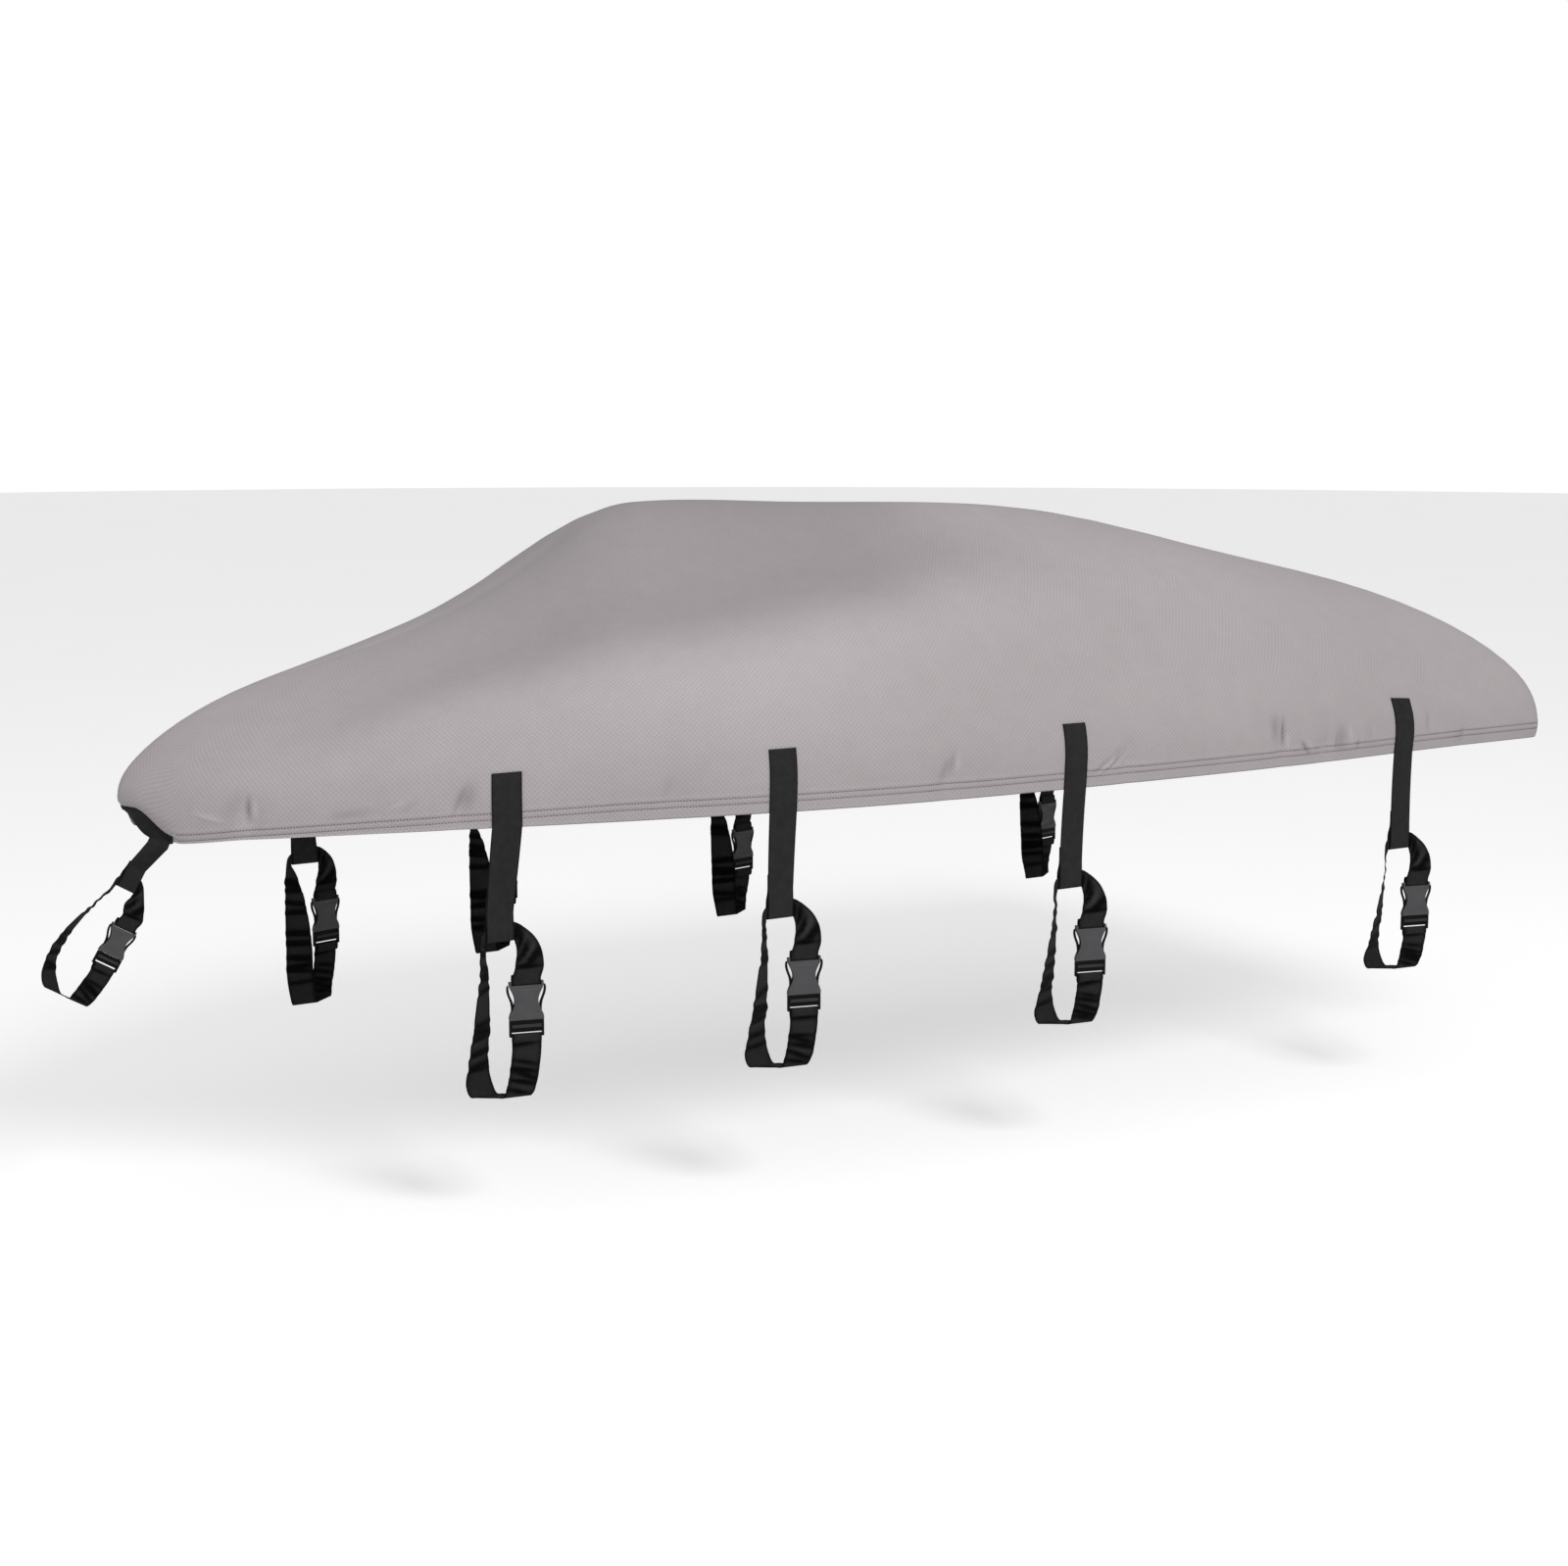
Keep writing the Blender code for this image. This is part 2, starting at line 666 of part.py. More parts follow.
class Moulding:
    """One flat piece of a buckle, with what is cut out of it. Sizes are in the buckle's own directions."""

    def __init__(self, name, outlines, thickness, place, scale, collections, finish):
        self.thickness = thickness
        self.place = place
        self.scale = scale
        self.cutters = collections[1]
        self.piece = flat_piece(name, outlines, thickness, scale, collections[0], finish)
        self.piece.matrix_world = place

    def cut_away(self, label, size, middle):
        name = f"{self.piece.name}_{label}_cut"
        cutter = box_cutter(name, Vector(size), Vector(middle), self.scale, self.cutters)
        cutter.matrix_world = self.place
        boolean = self.piece.modifiers.new(label, "BOOLEAN")
        boolean.operation = "DIFFERENCE"
        boolean.object = cutter

    def thin_down(self, label, width, low, high, kept):
        """Cuts the front and the back away between two heights, and leaves a thinner part."""
        cut = (self.thickness - kept) / 2 + 0.002
        for side, sign in (("front", 1), ("back", -1)):
            middle = (0, (low + high) / 2, sign * (kept / 2 + cut / 2))
            self.cut_away(f"{label}_{side}", (width, high - low, cut), middle)


def make_buckle(label, hang, collections, body_finish, frame_finish):
    """A side-release buckle: the body that the loop's upper end holds, and the frame plugged into it."""
    across = hang.vector(*BUCKLE_ACROSS_VECTOR)
    front = hang.vector(-BUCKLE_ACROSS_VECTOR[1], BUCKLE_ACROSS_VECTOR[0], 0)
    up = -hang.down
    if across.cross(up).dot(front) < 0:
        across = -across
    place = Matrix((across, up, front)).transposed().to_4x4()
    place.translation = hang.point(hang.buckle_across, BUCKLE_OUT, BUCKLE_TOP + BODY_LENGTH)

    bar = BODY_LENGTH - BAR_INSET
    slot_high = bar - BAR_WIDTH / 2
    outlines = [body_outline(), slot(SLOT_WIDTH, slot_high - SLOT_LENGTH, slot_high)]
    name = f"buckle_{label}"
    body = Moulding(name, outlines, BODY_THICK, place, hang.scale, collections, body_finish)
    body.thin_down("bar", SLOT_WIDTH, slot_high - 0.0005, bar + BAR_WIDTH, BAR_THICK)
    body.cut_away("cavity", (CAVITY_WIDTH, CAVITY_DEPTH * 2, CAVITY_THICK), (0, 0, 0))

    bar = -BUCKLE_GAP - FRAME_LENGTH + BAR_INSET
    slot_low = bar + BAR_WIDTH / 2
    outlines = [frame_outline(), slot(SLOT_WIDTH, slot_low, slot_low + SLOT_LENGTH)]
    name = f"tongue_{label}"
    frame = Moulding(name, outlines, FRAME_THICK, place, hang.scale, collections, frame_finish)
    frame.thin_down("bar", SLOT_WIDTH, bar - BAR_WIDTH, slot_low + 0.0005, BAR_THICK)
    prong_low = -BUCKLE_GAP + 0.0001
    frame.thin_down("prongs", 0.1, prong_low, PRONG_REACH + 0.01, PRONG_THICK)


def sewn_spot(line, rings_up, away):
    """The place on one line of the shell, so many rings up from the hem, where a strap lies on it."""
    low = min(int(rings_up), len(line) - 2)
    return line[low].lerp(line[low + 1], rings_up - low) + away * (SEWN_GAP + WEB / 2)


def side_strap(number, side, collections, finishes):
    """One side tie-down. The upper strap follows the cloth down to the hem and hangs free below it."""
    _, from_bow, rings_up, sleeve_height, lean, drop = SIDE_STRAPS[number - 1]
    label = f"{'port' if side < 0 else 'starboard'}_{number}"
    near = min(stations(), key=lambda place: abs(place[0] - from_bow))
    middle = stations().index(near)
    away = outward(near[0], near[1], side)
    along = Vector((-away.y, away.x, 0)) * -side
    lines = [shell_line(*stations()[k], side) for k in (middle - 1, middle, middle + 1)]
    rows = [[sewn_spot(line, rings_up, away) for line in lines]]
    for ring in range(math.ceil(rings_up) - 1, 0, -1):
        rows.append([sewn_spot(line, ring, away) for line in lines])
    rows.append([sewn_spot(line, 0.12, away) for line in lines])
    below = rows[-1][1].copy()
    lowest_height = to_frame(0, 0, sleeve_height).z
    straight_down = below.z - lowest_height - SLEEVE_DEPTH
    aft = Vector((1, 0, 0))
    for share in (0.30, 0.65, 0.90):
        sink = straight_down * share
        place = below - away * LEAN_IN * sink * (1 - 0.35 * share) - along * lean * share
        place.z = below.z - sink
        rows.append(across_row(place, along.lerp(aft, share), WEB_WIDTH, 3))
    lowest = below - away * LEAN_IN * straight_down * 0.66 - along * lean
    lowest.z = lowest_height
    hang = Hang(lowest, aft, Vector((0, side, 0)))
    rows += sleeve_rows(hang, 3)
    web, body, frame = finishes
    ribbon(f"strap_{label}", rows, collections[0], web)
    ribbon(f"loop_{label}", loop_rows(hang, drop), collections[0], web)
    make_buckle(label, hang, collections, body, frame)


def bow_strap(collections, finishes):
    """The bow tie-down: its strap runs under the front of the nose, folds and hangs to its sleeve."""
    across = Vector((math.cos(BOW_TILT), 0, -math.sin(BOW_TILT)))
    port = Vector((0, -1, 0))
    out = port * math.cos(BOW_YAW) + across * math.sin(BOW_YAW)
    across = across * math.cos(BOW_YAW) - port * math.sin(BOW_YAW)
    origin = to_frame(*BOW_SLEEVE)
    hang = Hang(origin, across, out, BOW_SCALE, BOW_SPREAD, BOW_SHIFT, BOW_HUMP_IN)
    rows = []
    for station, (rings_up, inner) in zip(stations(), BOW_SEWN):
        away = outward(station[0], station[1], -1)
        line = shell_line(*station, -1)
        edge = sewn_spot(line, rings_up, away)
        lip = sewn_spot(line, 0, away) - Vector((0, 0, BOW_LIP))
        rows.append([edge, lip, to_frame(*inner)])
    for outer, inner in BOW_FREE:
        ends = to_frame(*outer), to_frame(*inner)
        rows.append([ends[0], ends[0].lerp(ends[1], 0.5), ends[1]])
    rows = [row[::-1] for row in rows] + sleeve_rows(hang, 3)
    web, body, frame = finishes
    ribbon("strap_bow", rows, collections[0], web, BOW_SCALE)
    ribbon("loop_bow", loop_rows(hang, BOW_DROP), collections[0], web, BOW_SCALE)
    make_buckle("bow", hang, collections, body, frame)


def new_collection(name):
    made = bpy.data.collections.new(name)
    bpy.context.scene.collection.children.link(made)
    return made


def main():
    for obj in list(bpy.data.objects):
        bpy.data.objects.remove(obj)
    parts = new_collection("boat_cover")
    cutters = new_collection("cutters")
    cloth = material("coated_polyester_cloth", CLOTH_COLOUR, 0.8)
    web = material("black_webbing", WEB_COLOUR, 0.75)
    body = material("grey_moulded_plastic", BODY_COLOUR, 0.5)
    frame = material("black_moulded_plastic", FRAME_COLOUR, 0.45)
    make_cover(parts, cloth)
    for number in range(1, len(SIDE_STRAPS) + 1):
        for side in (-1, 1):
            side_strap(number, side, (parts, cutters), (web, body, frame))
    bow_strap((parts, cutters), (web, body, frame))


main()
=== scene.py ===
"""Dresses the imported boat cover: its cloth, stitching, webbing and buckles, with a plain studio round it.

The bow points to -X, port is -Y, and +Z is up. Sizes are in metres. "from_bow" is measured aft from the
nose, and "height" up from the hem at midships.
"""

import math
from bisect import bisect_right
from collections import namedtuple
from itertools import accumulate

import bmesh
import bpy
from bpy.props import FloatProperty, FloatVectorProperty, PointerProperty
from mathutils import Matrix, Vector


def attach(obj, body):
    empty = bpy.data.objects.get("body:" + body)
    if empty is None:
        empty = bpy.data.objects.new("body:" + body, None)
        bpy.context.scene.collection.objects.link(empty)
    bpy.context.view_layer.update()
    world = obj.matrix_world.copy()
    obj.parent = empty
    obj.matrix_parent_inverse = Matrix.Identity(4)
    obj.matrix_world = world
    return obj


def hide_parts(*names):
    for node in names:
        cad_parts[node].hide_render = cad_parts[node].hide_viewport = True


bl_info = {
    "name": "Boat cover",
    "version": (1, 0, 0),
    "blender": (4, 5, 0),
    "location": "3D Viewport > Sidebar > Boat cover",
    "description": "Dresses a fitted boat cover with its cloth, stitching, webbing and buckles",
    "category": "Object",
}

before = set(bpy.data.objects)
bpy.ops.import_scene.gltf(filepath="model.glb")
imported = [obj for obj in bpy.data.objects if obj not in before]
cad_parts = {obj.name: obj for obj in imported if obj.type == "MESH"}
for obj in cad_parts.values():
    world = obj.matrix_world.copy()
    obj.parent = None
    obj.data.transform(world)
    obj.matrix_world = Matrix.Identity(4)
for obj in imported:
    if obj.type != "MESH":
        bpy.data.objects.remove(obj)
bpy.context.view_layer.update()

PORT, STARBOARD = -1, 1
SIDE_NAMES = {PORT: "port", STARBOARD: "starboard"}

# ------------------------------------------------------------------ the form of the cloth
LENGTH = 4.246
CLOTH = 0.002
# The plan: widest at FULLEST_FROM_BOW, with a blunt nose, rounded stern corners and a cambered stern
HALF_BEAM = 0.944
FULLEST_FROM_BOW = 2.18
BOW_FULLNESS = 2.3
BOW_ROUNDNESS = 0.74
STERN_NARROWING = 0.040
STERN_CORNER = 0.07
TRANSOM_CAMBER = 0.02
SIDE_POINTS, CORNER_POINTS, TRANSOM_POINTS = 240, 24, 32
# How far the hem is drawn in under the side, more within NOSE_END of the nose
HEM_TUCK, NOSE_TUCK, NOSE_END = 0.009, 0.016, 0.15
# The ends of the crown line, and its highest point, just under which the frame's origin lies
SPINE_START, SPINE_END = 0.46, 4.06
PEAK_FROM_BOW, PEAK_HEIGHT = 1.55, 0.764
# Near the stem the hem rises to pass over the bow strap, between these half breadths
STEM_HEM_HEIGHT = 0.0165
CHIN_START, CHIN_END, CHIN_REACH = 0.050, 0.175, 0.2

# The crown line along the middle of the roof
SPINE = (
    # from_bow, height
    (0.46, 0.330),
    (0.78, 0.414),
    (1.01, 0.500),
    (1.20, 0.602),
    (1.39, 0.726),
    (1.55, 0.764),
    (2.07, 0.748),
    (2.64, 0.727),
    (2.95, 0.691),
    (3.21, 0.618),
    (3.71, 0.476),
    (4.06, 0.410),
)

# How the side rises from the hem along each side
SIDE = (
    # from_bow, hem_height, shoulder_height, roof_power
    (0.00, -0.062, 0.060, 1.45),
    (0.09, -0.062, 0.062, 1.45),
    (0.22, -0.043, 0.080, 1.42),
    (0.50, -0.020, 0.110, 1.38),
    (0.90, -0.004, 0.140, 1.34),
    (1.40, 0.001, 0.165, 1.32),
    (2.40, -0.005, 0.175, 1.34),
    (3.20, -0.006, 0.150, 1.45),
    (3.80, 0.000, 0.100, 1.64),
    (4.20, 0.000, 0.070, 1.73),
)

# Broad hollows (depth above 0) and crowns (depth below 0) where the cloth spans what is under it
SWELLS = (
    # from_bow, up_roof, half_length, half_rise, port_depth, starboard_depth
    (1.55, 0.66, 0.80, 0.20, 0.024, 0.022),
    (1.75, 0.32, 1.00, 0.16, -0.012, -0.010),
    (0.72, 0.55, 0.30, 0.25, 0.014, 0.012),
    (2.75, 0.55, 0.45, 0.24, 0.012, 0.016),
    (3.50, 0.50, 0.40, 0.24, -0.008, -0.006),
)

# The soft ridge where the cloth is drawn tight over what is under it, from the bow up to the windscreen.
# The roof inboard of it lies flatter, and the side below it stands steeper.
RIDGE = (
    # from_bow, up_roof, height
    (0.20, 0.12, 0.000),
    (0.31, 0.175, 0.004),
    (0.47, 0.275, 0.010),
    (0.63, 0.330, 0.014),
    (0.84, 0.325, 0.018),
    (1.03, 0.325, 0.021),
    (1.24, 0.305, 0.024),
    (1.48, 0.325, 0.026),
    (1.75, 0.375, 0.026),
    (2.03, 0.405, 0.026),
    (2.22, 0.450, 0.024),
    (2.44, 0.475, 0.019),
    (2.62, 0.500, 0.010),
    (2.90, 0.500, 0.000),
)
RIDGE_RISE = 0.100
RIDGE_HOLLOW, RIDGE_HOLLOW_UP, RIDGE_HOLLOW_RISE = 0.9, 0.240, 0.150
# Painted light on the cloth: a painted highlight along the ridge, and painted shade on the roof over it and
# the skirt below it, each between two climbs from it. The ridge's share is full at RIDGE_FULL, and the
# skirt's at
# SKIRT_DULL_FULL from the bow.
RIDGE_FULL, RIDGE_PALE = 0.024, 0.05
ROOF_DULL, ROOF_DULL_FROM, ROOF_DULL_TO = 0.21, 0.03, 0.20
SKIRT_DULL, SKIRT_DULL_FROM, SKIRT_DULL_TO, SKIRT_DULL_FULL = 0.10, 0.05, -0.35, 1.3
# Painted shade in the cloth's crease troughs and painted highlight on their crests, per metre of crease
# height
CREASE_TONE = 45.0

# Puckers that run up from the hem
PUCKERS = (
    # from_bow, half_width, reach, port_depth, starboard_depth
    (0.235, 0.030, 0.13, 0.009, 0.006),
    (0.665, 0.050, 0.16, 0.010, 0.007),
    (1.180, 0.050, 0.13, 0.005, 0.008),
    (1.950, 0.045, 0.15, 0.008, 0.006),
    (2.560, 0.040, 0.16, 0.009, 0.008),
    (3.130, 0.035, 0.18, 0.010, 0.007),
    (3.300, 0.035, 0.13, 0.007, 0.010),
    (3.880, 0.040, 0.14, 0.006, 0.008),
)
# A pucker's share at the hem, the share of its reach at which it is deepest, and how sharp it is
HEM_PUCKER_SHARE, PUCKER_DEEPEST, PUCKER_SHARPNESS = 0.35, 0.4, 1.5

# Narrow creases, placed one by one. slant is how far a crease's top leans aft from upright, and a height
# below
# 0 is a trough.
CREASES = {
    # from_bow, above_hem, slant_deg, half_length, half_width, height
    PORT: (
        (0.228, 0.076, 1, 0.046, 0.0050, -0.0060),
        (0.242, 0.074, -3, 0.040, 0.0060, 0.0026),
        (0.200, 0.085, 10, 0.060, 0.0180, -0.0022),
        (0.155, 0.063, -63, 0.044, 0.0045, 0.0036),
        (0.440, 0.050, 82, 0.070, 0.0110, -0.0024),
        (0.535, 0.070, 55, 0.035, 0.0050, 0.0020),
        (0.560, 0.062, 50, 0.035, 0.0055, -0.0020),
        (0.668, 0.070, 23, 0.062, 0.0055, -0.0042),
        (0.688, 0.078, 20, 0.055, 0.0150, -0.0036),
        (1.160, 0.075, 18, 0.045, 0.0120, -0.0016),
        (1.940, 0.075, 20, 0.050, 0.0120, -0.0034),
        (1.962, 0.095, 10, 0.045, 0.0060, -0.0034),
        (1.980, 0.095, 6, 0.040, 0.0070, 0.0024),
        (2.470, 0.058, 57, 0.062, 0.0050, -0.0036),
        (2.492, 0.060, 57, 0.066, 0.0050, 0.0036),
        (2.512, 0.064, 56, 0.066, 0.0050, -0.0040),
        (2.538, 0.074, 54, 0.050, 0.0055, 0.0026),
        (2.520, 0.082, 25, 0.035, 0.0100, -0.0024),
        (3.138, 0.100, 1, 0.060, 0.0048, -0.0068),
        (3.152, 0.070, -4, 0.030, 0.0050, 0.0032),
        (3.106, 0.115, -4, 0.055, 0.0180, -0.0040),
        (3.221, 0.048, -40, 0.040, 0.0045, -0.0064),
        (3.240, 0.052, -38, 0.034, 0.0050, 0.0030),
        (3.300, 0.062, 4, 0.030, 0.0080, -0.0018),
        (3.365, 0.062, -2, 0.058, 0.0190, -0.0042),
        (3.345, 0.056, 8, 0.040, 0.0060, -0.0024),
        (3.400, 0.072, -8, 0.045, 0.0070, 0.0026),
        (3.432, 0.040, 10, 0.026, 0.0055, -0.0038),
        (3.474, 0.080, -6, 0.040, 0.0080, -0.0030),
        (3.720, 0.086, 4, 0.045, 0.0090, -0.0026),
        (3.870, 0.034, 12, 0.030, 0.0070, -0.0034),
    ),
    STARBOARD: (
        (0.250, 0.066, 8, 0.045, 0.010, -0.0066),
        (0.660, 0.080, -26, 0.055, 0.012, -0.0054),
        (0.705, 0.078, -30, 0.048, 0.011, 0.0039),
        (1.205, 0.065, 6, 0.045, 0.010, -0.0066),
        (1.950, 0.072, 8, 0.042, 0.011, -0.0063),
        (2.490, 0.074, 50, 0.065, 0.009, -0.0048),
        (3.140, 0.084, -8, 0.050, 0.010, -0.0066),
        (3.310, 0.085, 5, 0.050, 0.010, -0.0075),
        (3.400, 0.070, -34, 0.050, 0.010, 0.0042),
    ),
}
# Half widths from its middle at which a crease or pucker has faded, and up to which lines are close-set
FADED, CREASE_REACH = 3, 1.9

# The hem: the doubled cloth ends at HEM_DEPTH, its lower edge is rolled, and two rows of stitches hold it
HEM_DEPTH = 0.052
HEM_STEP, HEM_STEP_RUN = 0.0012, 0.003
HEM_ROLL, HEM_ROLL_RUN = 0.0008, 0.006
STITCH_ROWS = (0.029, 0.045)
STITCH_SPAN = 0.3
HEM_STITCH_SHARE, HEM_THREAD = 0.62, 0.0026
GROOVE_DEPTH, GROOVE_HALF_WIDTH = 0.0016, 0.0032
# The seams lie lower towards the bow. Port of the stem the bow strap hides them.
SEAM_DROP, SEAM_DROP_END, SEAM_DROP_MOST = 0.0265, 1.05, 0.022
SEAMS_START, SEAMS_FULL = 0.165, 0.195
# How dull or pale the hem is: painted shade at its rows of stitches, duller over its band, a painted
# highlight at its lip and painted shade at its lower edge
SEAM_DULL, SEAM_HALF_WIDTH = 0.12, 0.0034
BAND_DULL = 0.03
LIP_PALE, BOW_LIP_PALE, LIP_TOP = 0.07, 0.30, 0.018
EDGE_TONE, EDGE_TOP = 0.35, 0.0034
# The shoulder's corner is rounded between two climbs, and the crown's ridge within a share of the way out.
# Hollows fade out towards the crown, and past CROWN_CLIMB a point lies on the middle line.
ROUND_LOW, ROUND_HIGH = 0.45, 1.22
CROWN_ROUND, CROWN_PLAIN, CROWN_CLIMB = 0.06, 0.35, 1.999
# Heights above the hem's edge at which the cloth has a line of points, closest at the grooves
HEM_LINES = (
    0.0, 0.0014, 0.0034, 0.009, 0.016, 0.0225, 0.0260, 0.0290, 0.0320, 0.0350,
    0.0390, 0.0420, 0.0450, 0.0480, 0.0515, 0.0550,
)
SKIRT_LINES, ROOF_LINES = 17, 19
ROOF_CROWDING = 1.35
SHOULDER_ROOM = 0.18
# How far apart the lines up the cloth stand: on plain cloth, near the nose, at creases and at stern corners
PLAIN_STEP = 0.030
NOSE_STEP, NOSE_ARC = 0.012, 0.30
CREASE_STEP = 0.0046
CORNER_STEP, CORNER_LEAD = 0.010, 0.001
ALONG_CHECK = 0.003

# ------------------------------------------------------------------ the form of the tie-downs
WEB_WIDTH = 0.076
WEB = 0.002
SEWN_GAP = 0.0012
STRAP_COLUMNS = 7
ROW, SEWN_ROW = 0.006, 0.010
# An upper strap's free part: where it leaves the cloth, its rows, how far it leans in, and how that eases
SEWN_LOWEST = 0.0324
FREE_SHARES = 12
LEAN_IN, LEAN_EASED, LEAN_LEFT = 0.10, 0.35, 0.66
# 1 draws a strap in full curves, and 0 in straight runs
STRAIGHT = 0.25
# The sleeve, turned round from the front of the strap and up its back, and sewn down from its lap on
SLEEVE_DEPTH = 0.078
SLEEVE_HALF_GAP = 0.0055
SLEEVE_LAP, SLEEVE_FLAP = 0.004, 0.040
SLEEVE_CLEAR = WEB_WIDTH / 2 + 0.005
SLEEVE_STEPS = 6
LAYER_STEP = 0.0026
# How far out each face of the sleeve lies, at shares of its depth
SLEEVE_FRONT = ((0.0, -1.0), (0.0010, -0.62), (0.0010, -0.25))
SLEEVE_BACK = (
    (-2 * SLEEVE_HALF_GAP - 0.0005, -0.30),
    (-2 * SLEEVE_HALF_GAP + 0.0005, -0.60),
    (-1.6 * LAYER_STEP, -0.88),
)
# How pale a loop is: darker over all than the upper straps, with painted shade at its edges and in its
# creases' troughs and painted highlight on their crests
LOOP_TONE, LOOP_EDGE_TONE = 0.85, 0.40
WEB_CREASE_TONE, DARKEST = 380.0, 0.05
# How far a loop's creases shift and lean, and how that differs from strap to strap and crease to crease
CREASE_DRIFT, DRIFT_BY_STRAP, DRIFT_BY_CREASE = 0.03, 2.3, 1.7
CREASE_LEAN, LEAN_BY_STRAP, LEAN_BY_CREASE = 5, 1.9, 2.9
STRETCH_END, FADE_ROWS = 0.04, 3

SIDE_STRAPS = (
    # number, from_bow, sewn_climb, sleeve_height, forward_lean, loop_drop
    (1, 0.778, 1.006, -0.303, 0.022, 0.408),
    (2, 1.464, 1.006, -0.279, 0.002, 0.399),
    (3, 2.372, 1.000, -0.284, 0.000, 0.384),
    (4, 3.620, 1.089, -0.296, -0.012, 0.368),
)

# The buckle, drawn with its length along local Y and its front to local +Z
BUCKLE_WIDTH, BUCKLE_GAP = 0.090, 0.0006
BODY_LENGTH, BODY_THICK = 0.100, 0.0132
FRAME_LENGTH, FRAME_THICK = 0.044, 0.0110
WAIST_WIDTH, WAIST_STEPS = 0.061, 12
WAIST_START, WAIST_SHARE, WAIST_POWER = 0.08, 0.84, 1.5
PANEL_LOW, PANEL_HIGH = 0.006, BODY_LENGTH - 0.018
PANEL_INSET, PANEL_STEP, PANEL_SUNK = 0.0070, 0.0008, 0.0007
CAVITY_WIDTH, CAVITY_DEPTH, CAVITY_THICK = 0.0820, 0.0740, 0.0072
SLOT_WIDTH, SLOT_LENGTH, FRAME_SLOT = 0.0796, 0.0042, 0.0080
BAR_THICK, BAR_WIDTH, BAR_INSET = 0.005, 0.005, 0.003
BAR_OVERLAP, BAR_CLEAR, CUT_THROUGH = 0.0005, 0.002, 0.03
# The window in each face of the frame, and the rib across it
WINDOW, WINDOW_MIDDLE = (0.0760, 0.0200, 0.0030), -0.0160
RIB, RIB_SUNK, RIB_RADIUS = (0.0765, 0.0085, 0.0026), 0.0007, 0.0010
# One prong from the frame up inside the body: the start, middle and width of its root, which runs straight
# for PRONG_BLOCK, and then each section
PRONG_THICK, PRONG_BLOCK, PRONG_RADIUS = 0.0052, 0.002, 0.0008
PRONG_ROOT = (-0.0030, 0.0340, 0.0080)
PRONG = (
    # up from the frame, middle across, width
    (0.010, 0.0348, 0.0078),
    (0.022, 0.0358, 0.0085),
    (0.034, 0.0362, 0.0080),
    (0.046, 0.0384, 0.0070),
    (0.056, 0.0422, 0.0064),
    (0.066, 0.0462, 0.0062),
    (0.076, 0.0486, 0.0060),
    (0.085, 0.0490, 0.0054),
    (0.091, 0.0478, 0.0034),
)
# Where it hangs from the sleeve's lower edge, and how the strap wraps its bars
BUCKLE_TOP, BUCKLE_ACROSS, BUCKLE_OUT = 0.108, 0.067, 0.0077
BUCKLE_TURN = math.radians(14)
WRAP_RADIUS, WRAP_SHIFT, WRAP_STEPS = 0.0049, 0.0005, 5
# The strap before and after its turn: out from the bar, and beyond it seen from where the strap comes
WRAP_START = (WRAP_RADIUS, -0.012)
WRAP_ENDS = (
    (0.2 * WRAP_RADIUS - LAYER_STEP, -0.020),
    (WRAP_RADIUS - LAYER_STEP - 0.0012, -0.021),
)
FACE_ACROSS = Vector((math.cos(BUCKLE_TURN), math.sin(BUCKLE_TURN), 0.0))
FACE_FRONT = Vector((-math.sin(BUCKLE_TURN), math.cos(BUCKLE_TURN), 0.0))

# Where the loop strap's hump stands, measured down from the sleeve's lower edge
HUMP_MIDDLE, HUMP_REACH = 0.028, 0.045

# The loop strap from the buckle's body over the hump, through the sleeve, down behind the rail, under it
# and up the front to the buckle's frame. "down" is a share of the loop's drop where "share" is 1.
LOOP = (
    # across, out, down, share, width, facing (across, out, down)
    (0.073, 0.014, 0.076, 0, 0.076, (0.97, 0.24, -0.05)),
    (0.074, 0.014, 0.048, 0, 0.073, (0.95, 0.22, -0.22)),
    (0.070, 0.008, 0.018, 0, 0.065, (0.80, 0.15, -0.58)),
    (0.056, 0.000, -0.008, 0, 0.053, (0.42, 0.05, -0.90)),
    (0.0395, -0.0055, -0.0245, 0, 0.046, (0.02, 0.00, -1.00)),
    (0.000, -0.0055, -0.0232, 0, 0.042, (0.00, 0.00, -1.00)),
    (-0.0395, -0.0055, -0.0170, 0, 0.030, (-0.02, 0.00, -1.00)),
    (-0.0455, -0.005, -0.007, 0, 0.028, (-0.38, 0.06, -0.92)),
    (-0.045, -0.010, 0.014, 0, 0.030, (-0.70, 0.55, -0.45)),
    (-0.040, -0.018, 0.18, 1, 0.052, (-0.72, 0.69, 0.0)),
    (-0.037, -0.030, 0.40, 1, 0.070, (-0.80, 0.60, 0.0)),
    (-0.038, -0.043, 0.60, 1, 0.076, (-0.86, 0.51, 0.0)),
    (-0.042, -0.054, 0.80, 1, 0.076, (-0.92, 0.39, 0.0)),
    (-0.037, -0.058, 0.94, 1, 0.076, (-1.00, 0.05, 0.0)),
    (-0.028, -0.050, 1.00, 1, 0.076, (-1.00, 0.00, 0.0)),
    (-0.018, -0.042, 1.00, 1, 0.076, (-1.00, 0.00, 0.0)),
    (0.029, -0.006, 1.00, 1, 0.076, (-1.00, -0.08, 0.0)),
    (0.040, 0.002, 1.00, 1, 0.076, (-0.99, -0.12, 0.0)),
    (0.050, 0.010, 0.93, 1, 0.076, (-0.97, -0.24, 0.0)),
    (0.060, 0.012, 0.80, 1, 0.076, (-0.97, -0.24, 0.0)),
)

# The loop's stretches that are gathered or creased, each between two of its rows above
STRETCHES = {"hump": (0, 4), "back": (8, 13), "front": (17, 20)}
